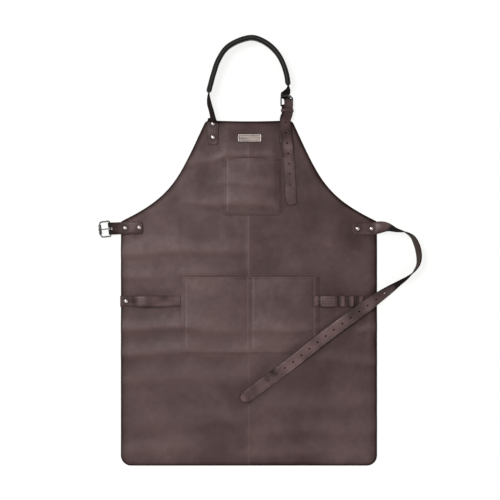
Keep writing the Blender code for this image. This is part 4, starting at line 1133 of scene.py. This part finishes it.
def make_pocket(name, spec, thread_name):
    """A patch pocket that stands off the panel between its seams, and its stitches."""
    (cx, cy), (width, height) = spec["centre"], spec["size"]
    low = [0, 0.3, 0.8, 1.8, 3.0, 4.5, 6.5, 9.0]
    high = [4.0, 2.0, 0.9, 0.35, 0.0]
    rows = [-height / 2 + v for v in low]
    count = round((height - 13) / 2.4)
    start, end = rows[-1], height / 2 - high[0]
    rows += [start + (end - start) * (i + 1) / count for i in range(count)]
    rows += [height / 2 - v for v in high[1:]]
    insets = (0.0, 0.3, 0.8, 1.8, 3.5, 6.0)
    x, y = [], []
    for row in rows:
        away = max(0.0, POCKET_CORNER - (row + height / 2))
        half = width / 2 - (POCKET_CORNER - math.sqrt(max(0.0, POCKET_CORNER ** 2 - away ** 2)))
        x.append(columns(half, insets, [1.2, 2.4, 3.6, 5.0, 6.5], round(width / 5.2)))
        y.append([row] * len(x[-1]))
    x, y = np.array(x), np.array(y)
    edge = outline_distance(np.ravel(x), np.ravel(y), outline_of(x, y)).reshape(x.shape)
    rise = pocket_rise(spec, x, y)
    base = ON_PANEL / MM + lift(x + cx, y + cy) + rise
    # Lighter where the pocket stands higher, and random tone; the bib pocket is a little darker all over, and
    # both pockets are painted darker towards the right, as shade.
    tone = 0.05 * (rise - 3) - 0.1 * (spec["bays"] == 1) + 0.15 * cloud(x, y, 50.0, 1.1)
    tone = tone - 0.0009 * (x + cx) + 0.1 * lift(x + cx, y + cy)
    # Painted highlights in lines where the leather bends up from its seams, and along the lip
    bends = [width / 2 - SEAM, SEAM - width / 2] + ([SEAM / 2, -SEAM / 2] if spec["bays"] == 2 else [])
    for bend in bends:
        side = -1 if bend > 0 else 1
        if abs(bend) < SEAM:
            side = -side
        bend_highlight = 0.75 if spec["bays"] == 2 else 0.9 * (bend < 0)
        tone = tone + bend_highlight * np.exp(-((x - bend - 0.5 * side) / 1.5) ** 2) * (y > SEAM - height / 2)
    for highlight_x, wide, strength in spec["lip_highlights"]:
        tone = tone + strength * np.exp(-((x + cx - highlight_x) / wide) ** 2) * np.exp(-(height / 2 - y) / 7.0)
    # A painted shadow in a line just under the lip.
    tone = tone - 0.3 * np.exp(-((height / 2 - y - 4.0) / 1.5) ** 2)
    # The sewn edges are pared thin, so that they lie close; the lip keeps its thickness.
    pared = edge + 20 * smooth_between(height / 2 - 14, height / 2 - 6, y) * (np.abs(x) < width / 2 - 9)
    share = 1 - 0.55 * (1 - smooth_between(0, 8, pared))
    mesh = shell(name, x + cx, y + cy, base, POCKET_THICK / MM, edge, tone, 0.5, share, 0.4)
    obj = show(name, mesh, PANEL_LEATHER, SOFT_EDGE, FLESH)

    def surface(px, py):
        top = float(lift(px + cx, py + cy)) + float(pocket_rise(spec, np.array([px]), np.array([py]))[0])
        return Vector((px + cx, py + cy, ON_PANEL / MM + POCKET_THICK / MM + top)) * MM

    seams = []
    for inset in POCKET_STITCH_INSETS:
        hw, hh = width / 2 - inset, height / 2 - inset
        r = max(1.5, POCKET_CORNER - inset)
        line = [Vector((-hw, height / 2 - 3, 0)), Vector((-hw, -hh + r, 0))]
        line += [Vector((-hw + r - r * math.cos(a), -hh + r - r * math.sin(a), 0))
                 for a in (math.pi / 2 * i / 6 for i in range(1, 7))]
        line += [Vector((-p.x, p.y, 0)) for p in reversed(line)]
        seams.append(line)
    if spec["bays"] == 2:
        seams += [[Vector((px, height / 2 - 3, 0)), Vector((px, -height / 2 + 12, 0))]
                  for px in (-MIDDLE_SEAM_HALF, MIDDLE_SEAM_HALF)]
    spots, runs = [], []
    for line in seams:
        places, ways = spaced(line, POCKET_STITCH_PITCH)
        for place, way in zip(places, ways):
            gx, gy = place.x + cx, place.y + cy
            if not (in_box(gx, gy, 154, 178, -35, -6) or in_box(gx, gy, -182, -160, -35, -6)):
                spots.append(surface(place.x, place.y))
                runs.append(way)
    return obj, sew(thread_name, spots, runs, [UP] * len(spots), THREAD)


# ---------------------------------------------------------------- loops across the panel

def band(name, profile, rivet, seed, spots, grooves=()):
    """A riveted strip across the apron: (x, height) points in mm of its underside."""
    rows = resample([(x * MM, 0, z * MM) for x, z in profile], 1.6 * MM)
    points = [Vector((row[0], LOOP_CENTRE_Y * MM, row[2])) for row in rows]
    outs = [Vector((-way.z, 0, way.x)).normalized() for way in directions(points)]
    line = [p + o * LOOP_THICK / 2 for p, o in zip(points, outs)]
    acrosses = [way.cross(UP).normalized() for way in directions(points)]
    strip = loft(name, line, acrosses, [LOOP_WIDTH] * len(line), LOOP_THICK, seed, 0.5, spots, grooves)
    carve(strip, sockets([rivet]))
    return strip


def hump(start, end, rise, steps=8):
    """The points (x, height) of one loop between its two seams."""
    return [(start + (end - start) * i / steps, rise * math.sin(math.pi * i / steps) ** 0.75)
            for i in range(1, steps)]


def make_loops():
    """The towel loop, the tool loops and the stitches that hold them."""
    low = ON_PANEL / MM
    # A painted highlight near the top of the towel loop's arch, painted shade at its foot, and the dark ring
    # round its rivet.
    wear_and_light = [(-262, LOOP_CENTRE_Y, 14, 0.5), (-284, LOOP_CENTRE_Y, 9, -0.7), *rivet_rings([TOWEL_RIVET])]
    towel = band("towel_strip", [(x, low + z) for x, z in TOWEL_PROFILE], TOWEL_RIVET, 2.0, wear_and_light)
    on_pocket = low + (POCKET_THICK + GAP) / MM
    profile = [(TOOL_TAB[0], on_pocket + 1.4), (TOOL_TAB[0] + 5, on_pocket + 0.2),
               (TOOL_TAB[0] + 8, on_pocket), (TOOL_TAB[1], on_pocket)]
    # The wide loop starts on the pocket and comes down to the panel.
    start, end, rise = TOOL_WIDE_LOOP
    for x, z in hump(start, end, rise):
        profile.append((x, z + low + (on_pocket - low) * (end - x) / (end - start)))
    profile.append((end, low))
    for start, end in TOOL_LOOPS:
        profile.append((start, low))
        profile += [(x, low + z) for x, z in hump(start, end, TOOL_LOOP_RISE)]
        profile.append((end, low))
    profile += [(TOOL_LOOPS[-1][1] + 5, low), (TOOL_END, low)]
    rows = [LOOP_CENTRE_Y + offset for offset in (-10, -5, 0, 5, 10)]
    # Painted shade on the left side of each loop and by two of the seams, and a painted highlight on the
    # right half of each loop; the tab and the wide loop are a little lighter all over.
    spots = [(start + 5.0, y, 4.0, -0.45) for start, _ in TOOL_LOOPS for y in rows]
    spots += [(end - 6.0, y, 4.5, 0.6) for _, end in TOOL_LOOPS for y in rows]
    spots += [(x, y, 3.2, -0.8) for x in (172.5, 258.5) for y in rows]
    spots += [(x, y, 6.0, 0.22) for x in (164, 184, 192, 200, 208) for y in rows]
    tools = band("tool_strip", profile, TOOL_RIVET, 5.0, spots, WIDE_LOOP_GROOVES)
    # Rows of stitches across the strips, where they are sewn down
    seams = [(x, low) for x in LOOP_SEAMS_ON_PANEL] + [(x, on_pocket) for x in LOOP_SEAMS_ON_POCKET]
    spots = [Vector((x, LOOP_CENTRE_Y - 10.0 + 4.0 * k, z + LOOP_THICK / MM + 0.1)) * MM
             for x, z in seams for k in range(6)]
    runs = [Vector((0, 1, 0))] * len(spots)
    return towel, tools, sew("loop_stitching", spots, runs, [UP] * len(spots), THREAD)


# ---------------------------------------------------------------- plate and rivets

def rounded_rect(half_x, half_y, radius, steps=6):
    """Points round a rectangle with rounded corners."""
    made = []
    for cx, cy, start in ((1, 1, 0), (-1, 1, 90), (-1, -1, 180), (1, -1, 270)):
        for i in range(steps + 1):
            angle = math.radians(start + 90 * i / steps)
            made.append((cx * (half_x - radius) + radius * math.cos(angle),
                         cy * (half_y - radius) + radius * math.sin(angle)))
    return made


def make_plate():
    """The blank name plate: a rounded rim, a ledge and a sunk field, with a pin at each end."""
    half_x, half_y = PLATE_SIZE[0] / 2, PLATE_SIZE[1] / 2
    low = ON_PANEL / MM
    # Rings of (inset, height, finish); finish 2 is the near-black painted shadow, on the outer bevel and on
    # the slope down to the field.
    levels = ((-0.3, 0.0, 2), (-0.3, 0.4, 2), (0.1, 0.7, 2), (0.9, 1.2, 2), (1.05, 1.45, 0), (1.3, 1.52, 0),
              (2.5, 1.52, 0), (2.7, 1.4, 2), (2.9, 1.1, 2), (3.6, 1.0, 1), (4.9, 1.0, 1), (5.1, 1.14, 0),
              (5.6, 1.14, 0), (5.8, 1.0, 1))
    verts = []
    for inset, height, _ in levels:
        ring = rounded_rect(half_x - inset, half_y - inset, max(0.4, 1.5 - inset))
        verts += [Vector((x, y, low + height)) * MM for x, y in ring]
    size = len(verts) // len(levels)
    faces = inside_out(skin(len(levels), size))
    kinds = [kind for _, _, kind in levels[:-1] for _ in range(size)] + [0, 1]
    for side in (-1, 1):
        pin_verts, pin_faces = turned([(0, 2.0), (1.0, 2.0), (1.0, -1.7), (0.8, -1.9), (0, -1.9)], 20)
        base = len(verts)
        verts += [Vector((side * PLATE_PIN + v.x, v.y, low - 1.0 + v.z)) * MM for v in pin_verts]
        faces += [tuple(i + base for i in face) for face in pin_faces]
        kinds += [0] * len(pin_faces)
    verts = [v + Vector((PLATE_CENTRE.x, PLATE_CENTRE.y, 0)) for v in verts]
    mesh = finish_mesh("name_plate", verts, faces, kinds, None, 30)
    return show("name_plate", mesh, PEWTER, PEWTER_DARK, PLATE_EDGE_SHADE)


def make_rivet(name, place, top):
    """A domed cap with a rolled rim on the leather at top, and its post and foot."""
    cap = turned([(r * MM, z * MM + top + GAP) for r, z in CAP_DOME], 48)
    head = top + 1.4 * MM
    post = [(0, head), (1.3 * MM, head), (1.5 * MM, head - 0.2 * MM)]
    post += [(r * MM, z * MM) for r, z in POST_FOOT]
    spot = Matrix.Translation(Vector((place[0] * MM, place[1] * MM, 0)))
    return join_meshes(name, [moved(cap, spot), moved(turned(post, 32), spot)], [NICKEL])


RIVETS = (
    ("neck_left_rivet_upper", NECK_LEFT_RIVETS[0], STRAP_TOP),
    ("neck_left_rivet_lower", NECK_LEFT_RIVETS[1], STRAP_TOP),
    ("neck_right_rivet_upper", NECK_RIGHT_RIVETS[0], PAIR_TOP),
    ("neck_right_rivet_lower", NECK_RIGHT_RIVETS[1], PAIR_TOP),
    ("waist_left_rivet_outer", WAIST_BUCKLE_RIVETS[0], PAIR_TOP),
    ("waist_left_rivet_inner", WAIST_BUCKLE_RIVETS[1], PAIR_TOP),
    ("waist_right_rivet_outer", WAIST_RIVETS[0], STRAP_TOP),
    ("waist_right_rivet_inner", WAIST_RIVETS[1], STRAP_TOP),
    ("towel_loop_rivet", TOWEL_RIVET, LOOP_TOP),
    ("tool_loops_rivet", TOOL_RIVET, LOOP_TOP),
)
RIVET_PLACES = [place for _, place, _ in RIVETS]


# ---------------------------------------------------------------- buckles

def settle(piece, slot, body, *nodes):
    """Puts a piece on its body and hides the CAD nodes that it stands for; slot is not used."""
    if nodes:
        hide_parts(*nodes)
    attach(piece, body)


def axes_matrix(origin, across, along):
    """The place of a buckle: X across, Y from its bar to its toe, Z out."""
    along = along.normalized()
    out = across.cross(along).normalized()
    across = along.cross(out)
    return Matrix.Translation(origin) @ Matrix((across, along, out)).transposed().to_4x4()


def corner(centre, radius, start, steps=8):
    """A quarter turn of the frame's wire."""
    return [Vector((centre[0] + radius * math.cos(math.radians(start + 90 * i / steps)),
                    centre[1] + radius * math.sin(math.radians(start + 90 * i / steps)), 0))
            for i in range(steps + 1)]


def make_buckle(prefix, origin, across, along, pitch, prong):
    """Frame, roller and prong, each riding on its own body."""
    lean = Matrix.Rotation(math.radians(-pitch), 3, across.normalized())
    axes = axes_matrix(origin, across, lean @ along)
    half, length = BUCKLE_HALF_WIDTH, BUCKLE_LENGTH
    ring = corner((half - TOE_CORNER, length - TOE_CORNER), TOE_CORNER, 0)
    ring += corner((-half + TOE_CORNER, length - TOE_CORNER), TOE_CORNER, 90)
    ring += corner((-half + BAR_CORNER, BAR_CORNER), BAR_CORNER, 180)
    ring += corner((half - BAR_CORNER, BAR_CORNER), BAR_CORNER, 270)
    # The wire is thinner where the strap and the roller go round it.
    radii = [WIRE_RADIUS + 0.35 * MM * float(smooth_between(15.5, 18.2, abs(p.x) / MM)) for p in ring]
    frame_part = moved(tube(ring, radii, 16, True), axes)
    wire = join_meshes(prefix + "_frame_wire", [frame_part], [BUCKLE_METAL])
    settle(wire, "nickel", prefix + "_frame", prefix + "_buckle_frame")

    h, r = ROLLER_LENGTH / 2, ROLLER_RADIUS
    rim = [(r, h - 0.5 * MM), (r, -h + 0.5 * MM), (r - 0.15 * MM, -h + 0.15 * MM), (r - 0.5 * MM, -h),
           (ROLLER_BORE + 0.2 * MM, -h), (ROLLER_BORE, -h + 0.2 * MM), (ROLLER_BORE, h - 0.2 * MM),
           (ROLLER_BORE + 0.2 * MM, h), (r - 0.5 * MM, h), (r - 0.15 * MM, h - 0.15 * MM)]
    sleeve, sleeve_faces = turned(rim, 48, True)
    for v in sleeve:
        # The seam of the rolled sheet
        if math.hypot(v.x, v.y) > r - 0.2 * MM and abs(math.atan2(v.y, v.x) - math.radians(37.5)) < 0.02:
            v.x, v.y = v.x * 0.95, v.y * 0.95
    spin = axes @ Matrix.Translation((0, length, 0)) @ Matrix.Rotation(math.radians(90), 4, "Y")
    roller = join_meshes(prefix + "_roller_sleeve", [moved((sleeve, sleeve_faces), spin)], [ROLLER_METAL])
    settle(roller, "nickel", prefix + "_roller", prefix + "_buckle_roller")

    eye = [Vector((0, PRONG_EYE * math.cos(a), PRONG_EYE * math.sin(a)))
           for a in (math.radians(310 - 220 * i / 28) for i in range(28))]
    keys = [(0, 0, PRONG_EYE)] + [(0, y * MM, z * MM) for y, z in prong]
    line = eye + [Vector(s) for s in resample(keys, 1.2 * MM)]
    run = run_along(line)
    radii = []
    for s in run:
        share = s / run[-1]
        taper = PRONG_RADIUS - PRONG_TAPER * max(0.0, share - 0.45) / 0.55
        left = min(s, run[-1] - s)
        radii.append(taper * math.sqrt(max(0.06, 1 - max(0.0, 1 - left / taper) ** 2)))
    tongue = join_meshes(prefix + "_prong_tongue", [moved(tube(line, radii, 14), axes)], [BUCKLE_METAL])
    settle(tongue, "nickel", prefix + "_prong", prefix + "_buckle_prong")


def rivet_rings(rivets):
    """A darker ring in the leather round each rivet's cap."""
    return [(x, y, 6.6, -0.9) for x, y in rivets]


def folded(name, base, acrosses, half_gaps, bar, width, slots, tip, rivets, spots=()):
    """A short strap folded round a bar, with both ends rounded and a slot for the prong.

    Base runs to the bar between the two legs, half_gaps are the legs' distances from it, and slots
    are how far back from the bar the slot reaches: in both legs, and in the upper one.
    """
    outs = normals(base, acrosses)
    along = directions(base)[-1]
    out, across = outs[-1], acrosses[-1]
    lower = [p - n * h for p, n, h in zip(base, outs, half_gaps)]
    upper = [p + n * h for p, n, h in zip(base, outs, half_gaps)]
    steps = 20
    turn = []
    for i in range(1, steps):
        angle = math.pi * i / steps
        turn.append(bar - out * FOLD_RADIUS * math.cos(angle) + along * FOLD_RADIUS * math.sin(angle))
    points = lower + turn + upper[::-1]
    # Turned over, so that the grain is on the outside of the fold.
    sides = [-a for a in acrosses + [across] * len(turn) + acrosses[::-1]]
    run = run_along(points)
    widths = []
    for s in run:
        share = min(1.0, (min(s, run[-1] - s) + 0.3 * MM) / tip)
        widths.append(width * (0.45 + 0.55 * math.sqrt(1 - (1 - share) ** 2)))
    spots = [*spots, *rivet_rings(rivets)]
    obj = loft(name, points, sides, widths, STRAP_THICK, 4.0 + width, 0.4, spots, (), STRAP_LEATHER)
    frame_axes = Matrix((across, along, out)).transposed().to_4x4()
    place = Matrix.Translation(bar) @ frame_axes
    # The slot goes on past the fold.
    past, high = 8 * MM, 10 * MM
    for reach, low in zip(slots, (-high, 0.0)):
        block = bmesh.new()
        size = (SLOT_WIDTH, reach + past, high - low)
        middle = Matrix.Translation((0, (past - reach) / 2, (high + low) / 2))
        bmesh.ops.create_cube(block, matrix=place @ middle @ Matrix.Diagonal((*size, 1)))
        carve(obj, [block])
    carve(obj, sockets(rivets))
    return obj


def make_waist_buckle():
    """The waist buckle and its short strap, which lies flat on the panel."""
    turn = math.radians(180 + WAIST_FOLD_TURN)
    along = Vector((math.cos(turn), math.sin(turn), 0))
    bar_turn = math.radians(180 + WAIST_BAR_TURN)
    bar_along = Vector((math.cos(bar_turn), math.sin(bar_turn), 0))
    half_pair = (STRAP_THICK + GAP) / 2
    # How far back from the bar, and half the distance between the legs there
    keys = [(back, half_pair) for back in (79, 78.4, 77.5, 76, 74.5, *range(72, 26, -3))]
    keys += [(24, 1.7 * MM), (21, 1.9 * MM), (18, 2.1 * MM), (15, 2.35 * MM), (12, 2.6 * MM), (9, 2.8 * MM),
             (6, 2.95 * MM), (3, 3.05 * MM), (0, FOLD_RADIUS)]
    base, acrosses, gaps = [], [], []
    for back, half in keys:
        way = along.lerp(bar_along, max(0.0, 1 - back / 40)).normalized()
        place = WAIST_BAR - along * back * MM
        base.append(Vector((place.x, place.y, STRAP_MID + half)))
        acrosses.append(way.cross(UP))
        gaps.append(half)
    bar = Vector((WAIST_BAR.x, WAIST_BAR.y, base[-1].z))
    strap = folded("waist_short_strap", base, acrosses, gaps, bar, WAIST_WIDTH, WAIST_SLOTS, 9 * MM,
                   WAIST_BUCKLE_RIVETS, WAIST_SHORT_SHADE_AND_WEAR)
    drop = math.degrees(math.asin((bar.z - ROLLER_RADIUS - 0.1 * MM) / BUCKLE_LENGTH))
    make_buckle("waist", bar, bar_along.cross(UP), bar_along, drop, WAIST_PRONG)
    return strap


def neck_axes():
    """The neck buckle's across, along and out directions."""
    roll = math.radians(NECK_ROLL)
    across = Vector((math.cos(roll), 0, -math.sin(roll)))
    along = Vector((0, 1, 0))
    return across, along, across.cross(along)


def make_neck_buckle():
    """The neck buckle and its short strap, which rises and rolls from the bib."""
    across, along, _ = neck_axes()
    keys = [(x * MM, y * MM, z * MM, -roll, half * MM) for x, y, z, roll, half in NECK_FOLD]
    stations = resample(keys, 2 * MM)
    base, acrosses = line_of(stations)
    gaps = [s[4] for s in stations]
    for back, half in ((12.5, 2.4 * MM), (9, 2.6 * MM), (6.7, 2.8 * MM), (4.5, 2.95 * MM), (2.2, 3.05 * MM),
                       (0, FOLD_RADIUS)):
        base.append(NECK_BAR - along * back * MM)
        acrosses.append(across)
        gaps.append(half)
    strap = folded("neck_short_strap", base, acrosses, gaps, NECK_BAR, NECK_WIDTH, NECK_SLOTS, 7 * MM,
                   NECK_RIGHT_RIVETS)
    make_buckle("neck", NECK_BAR, across, along, 0, NECK_PRONG)
    return strap


def make_keeper():
    """The keeper: a narrow band of leather bent round the straps, with soft corners."""
    across, along, _ = neck_axes()
    half = NECK_WIDTH / 2 + GAP
    low, high = -4.9 * MM, 8.6 * MM
    wall = KEEPER_WALL
    middle_z = (low + high) / 2
    round_all = rounded_rect(half + wall / 2, (high - low) / 2 + wall / 2, 1.6 * MM, 6)
    line = [(x, z + middle_z) for x, z in round_all]
    placed = axes_matrix(NECK_BAR, across, along) @ Matrix.Translation((0, KEEPER_PLACE, 0))
    verts, faces, kinds = [], [], []
    width = KEEPER_LENGTH / 2
    # Points (along the strap, out, kind of the face after it) round the band
    bevel = 0.4 * MM
    section = ((-width, wall / 2 - bevel, 1), (-width + bevel, wall / 2, 0), (0.0, wall / 2 + 0.1 * MM, 0),
               (width - bevel, wall / 2, 1), (width, wall / 2 - bevel, 1), (width, -wall / 2, 2),
               (-width, -wall / 2, 1))
    count, size = len(line), len(section)
    for i, (x, z) in enumerate(line):
        before, after = line[i - 1], line[(i + 1) % count]
        way = Vector((after[0] - before[0], 0, after[1] - before[1])).normalized()
        out = Vector((way.z, 0, -way.x))
        for y, rise, _ in section:
            verts.append(placed @ (Vector((x, y, z)) + out * rise))
    for i in range(count):
        a, b = i * size, ((i + 1) % count) * size
        for k in range(size):
            n = (k + 1) % size
            faces.append((a + k, b + k, b + n, a + n))
            kinds.append(section[k][2])
    mesh = finish_mesh("neck_keeper_band", verts, faces, kinds, [0.0] * len(verts))
    return show("neck_keeper_band", mesh, STRAP_LEATHER, EDGE, FLESH)


# ---------------------------------------------------------------- long straps

def hole_tools(points, acrosses, first, count, total):
    """Cutters for the holes in a tail, counted from its end."""
    outs = normals(points, acrosses)
    made = []
    for k in range(count):
        place, i = place_at(points, total - first - k * HOLE_PITCH)
        made.append(cutter_round(place, outs[i], HOLE_RADIUS, 4 * STRAP_THICK))
    return made


def make_waist_strap():
    """The whole waist strap in one piece, curved where its tail lifts."""
    points, acrosses = route(WAIST_ROUTE)
    tail, tail_acrosses = route(WAIST_TAIL_ROUTE)
    points, acrosses = points + tail[1:], acrosses + tail_acrosses[1:]
    total = run_along(points)[-1]
    tools = hole_tools(points, acrosses, WAIST_FIRST_HOLE, WAIST_HOLES, total)
    points, acrosses = fine_tip(points, acrosses, 12 * MM)
    start, turns = fine_tip(points[::-1], acrosses[::-1], 9 * MM)
    points, acrosses = start[::-1], turns[::-1]
    widths = tip_widths(points, WAIST_WIDTH, 12 * MM, 0.3, 9 * MM, 0.45, True)
    obj = loft("waist_long_strap", points, acrosses, widths, STRAP_THICK, 6.0, 0.4,
               [*WAIST_WEAR_AND_LIGHT, *rivet_rings(WAIST_RIVETS)])
    carve(obj, tools + sockets(WAIST_RIVETS))
    return obj


def neck_line():
    """Points and across directions of the whole neck strap."""
    across, along, out = neck_axes()
    rise, rise_turns = route(NECK_RISE + NECK_ARCH)
    held = NECK_THREAD + ((0, NECK_TAIL_LIFT), (KEEPER_PLACE / MM - 5, NECK_TAIL_LIFT))
    thread = [NECK_BAR + along * y * MM + out * z * MM for y, z in held]
    keys = [(*(Vector(key[:3]) * MM), key[3], 0) for key in (NECK_ARCH[-1], *NECK_TWIST)]
    keys += [(*place, NECK_ROLL, 1) for place in thread]
    keys += [(*(Vector(key[:3]) * MM), key[3], 0) for key in (*NECK_TAIL_UPPER, NECK_TAIL[0])]
    stations = resample(keys, 2 * MM)
    down, down_turns = line_of(stations)
    # In the buckle the strap lies as the bar does.
    down_turns = [a.lerp(-across, s[4]) for a, s in zip(down_turns, stations)]
    down_turns = [(a - way * a.dot(way)).normalized() for a, way in zip(down_turns, directions(down))]
    tail, tail_turns = route(NECK_TAIL)
    points = rise + down[1:] + tail[1:]
    turns = rise_turns + down_turns[1:] + tail_turns[1:]
    turns[len(rise) + len(down) - 2] = (down_turns[-1] + tail_turns[0]).normalized()
    return points, turns


def pad_section(half, thick):
    """Points (across, out) of one half of the pad, whose lips close over the strap's edges."""
    lip = STRAP_THICK / 2 + GAP - 0.15 * MM
    inner = NECK_WIDTH / 2 + 0.8 * MM
    made = []
    steps = 22
    for i in range(steps + 1):
        angle = math.pi * i / steps
        u = half * math.copysign(abs(math.cos(angle)) ** 0.42, math.cos(angle))
        v = (thick + lip) * math.sin(angle) ** 0.5 - lip
        made.append((u, v))
    wide = inner + 0.6 * MM
    return made + [(-wide, -lip), (-inner, 0.0), (0.0, 0.0), (inner, 0.0), (wide, -lip)]


def make_pad(name, points, turns, side):
    """One half of the nape pad, with a row of stitches by each edge."""
    outs = normals(points, turns)
    run = run_along(points)
    verts, tones = [], []
    for j, (point, across, out) in enumerate(zip(points, turns, outs)):
        left = min(run[j], run[-1] - run[j])
        share = min(1.0, left / (6 * MM))
        close = math.sqrt(1 - (1 - share) ** 2)
        half = PAD_WIDTH / 2 * (0.86 + 0.14 * close)
        thick = PAD_THICK * (0.45 + 0.5 * close) * (1 + 0.03 * wobble(point, 22 * MM, 3.0 + side))
        base = point + out * (side * (STRAP_THICK / 2 + GAP))
        section = pad_section(half, thick)
        for u, v in section:
            verts.append(base + across * u + out * (side * v))
            # The rolled lips by the strap are painted lighter, as the highlight along them.
            tones.append(1.3 if v < 0.6 * MM and abs(u) > 0.6 * half else 0.0)
    faces = skin(len(points), len(section))
    if side < 0:
        faces = inside_out(faces)
    obj = show(name, finish_mesh(name, verts, faces, None, tones), PAD_LEATHER)
    spots, runs, ups = [], [], []
    for edge in (-1, 1):
        line = [p + a * (edge * (PAD_WIDTH / 2 - 4.2 * MM)) + o * (side * (STRAP_THICK / 2 + GAP + 3.35 * MM))
                for p, a, o in zip(points, turns, outs)][3:-3]
        places, ways = spaced(line, 4.4 * MM)
        spots += places
        runs += ways
        for place in places:
            ups.append(outs[nearest(points, place)] * side)
    return obj, sew(name + "_stitching", spots, runs, ups, PAD_THREAD)


def make_neck_strap():
    """The neck strap in two halves that meet inside the pad, and the pad's two halves."""
    points, turns = neck_line()
    total = run_along(points)[-1]
    tools = hole_tools(points, turns, NECK_FIRST_HOLE, NECK_HOLES, total)
    start, end = (nearest(points, Vector(NECK_ARCH[i][:3]) * MM) for i in (0, -1))
    end += 1
    outer = make_pad("nape_pad_outer", points[start:end], turns[start:end], 1)
    inner = make_pad("nape_pad_inner", points[start:end], turns[start:end], -1)

    middle = (start + end) // 2
    left, left_turns = fine_tip(points[:middle][::-1], turns[:middle][::-1], 7 * MM)
    left, left_turns = left[::-1], left_turns[::-1]
    widths = tip_widths(left[::-1], NECK_WIDTH, 7 * MM, 0.4)[::-1]
    left_strap = loft("neck_strap_left", left, left_turns, widths, STRAP_THICK, 9.0, 0.4,
                      [*NECK_LEFT_SHADE, *rivet_rings(NECK_LEFT_RIVETS)])
    carve(left_strap, sockets(NECK_LEFT_RIVETS))

    right, right_turns = fine_tip(points[middle:], turns[middle:], 10 * MM)
    widths = tip_widths(right, NECK_WIDTH, 10 * MM, 0.3)
    right_strap = loft("neck_strap_right", right, right_turns, widths, STRAP_THICK, 11.0, 0.4,
                       NECK_RIGHT_WEAR_AND_LIGHT)
    _, along, out = neck_axes()
    centre = NECK_BAR + along * 17.0 * MM + out * 3.9 * MM
    tools.append(cutter_round(centre, along, 2.3 * MM, 11 * MM, 20, (out, 1.5)))
    carve(right_strap, tools)
    return left_strap, right_strap, outer, inner


# ---------------------------------------------------------------- the pieces on their bodies, all but the long waist strap and the neck strap's right half

panel, panel_stitches = make_panel()
bib_pocket, bib_stitches = make_pocket("bib_patch_pocket", BIB_POCKET, "bib_pocket_stitching")
lower_pocket, lower_stitches = make_pocket("lower_patch_pocket", LOWER_POCKET, "lower_pocket_stitching")
towel_strip, tool_strip, loop_stitches = make_loops()
for piece, *nodes in ((panel, "apron_panel"), (panel_stitches,), (bib_pocket, "bib_pocket"), (bib_stitches,),
                      (lower_pocket, "lower_pocket"), (lower_stitches,)):
    settle(piece, "waxed_leather", "apron", *nodes)
for piece, *nodes in ((towel_strip, "towel_loop"), (tool_strip, "tool_loops"), (loop_stitches,)):
    settle(piece, "strap_leather", "apron", *nodes)
settle(make_plate(), "pewter", "apron", "badge_plate")

for rivet_name, rivet_place, leather_top in RIVETS:
    rivet = make_rivet(rivet_name + "_domed", rivet_place, leather_top)
    settle(rivet, "nickel", "apron", rivet_name + "_cap", rivet_name + "_post")

settle(make_waist_buckle(), "strap_leather", "apron", "waist_buckle_strap")
settle(make_neck_buckle(), "strap_leather", "apron", "neck_buckle_strap")
settle(make_keeper(), "strap_leather", "apron", "neck_strap_keeper")

waist_long = make_waist_strap()
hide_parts("waist_strap", "waist_strap_tail")
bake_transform(waist_long)

neck_left, neck_right, outer_pad, inner_pad = make_neck_strap()
settle(neck_left, "strap_leather", "apron", "neck_strap")
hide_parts("neck_strap", "neck_strap_tail")
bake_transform(neck_right)
for (pad, pad_stitches), node in ((outer_pad, "neck_pad_outer"), (inner_pad, "neck_pad_inner")):
    settle(pad, "pad_leather", "apron", node)
    settle(pad_stitches, "pad_leather", "apron")

# ---------------------------------------------------------------- the floor

floor_mesh = bpy.data.meshes.new("floor")
corners = [(x, y, -GAP) for x, y in ((-4, -4), (4, -4), (4, 4), (-4, 4))]
floor_mesh.from_pydata(corners, [], [(0, 1, 2, 3)])
paper = Graph("white paper")
fibre = paper.noise(300, 3, 0.5)
paper.shade(base_color=paper.ramp(fibre, ((0.3, (0.19, 0.19, 0.188)), (0.7, (0.21, 0.21, 0.207)))),
            roughness=0.9, specular_ior_level=0.1, emission_color=(1.0, 1.0, 0.99), emission_strength=0.83)
floor = show("floor", floor_mesh, paper.material)
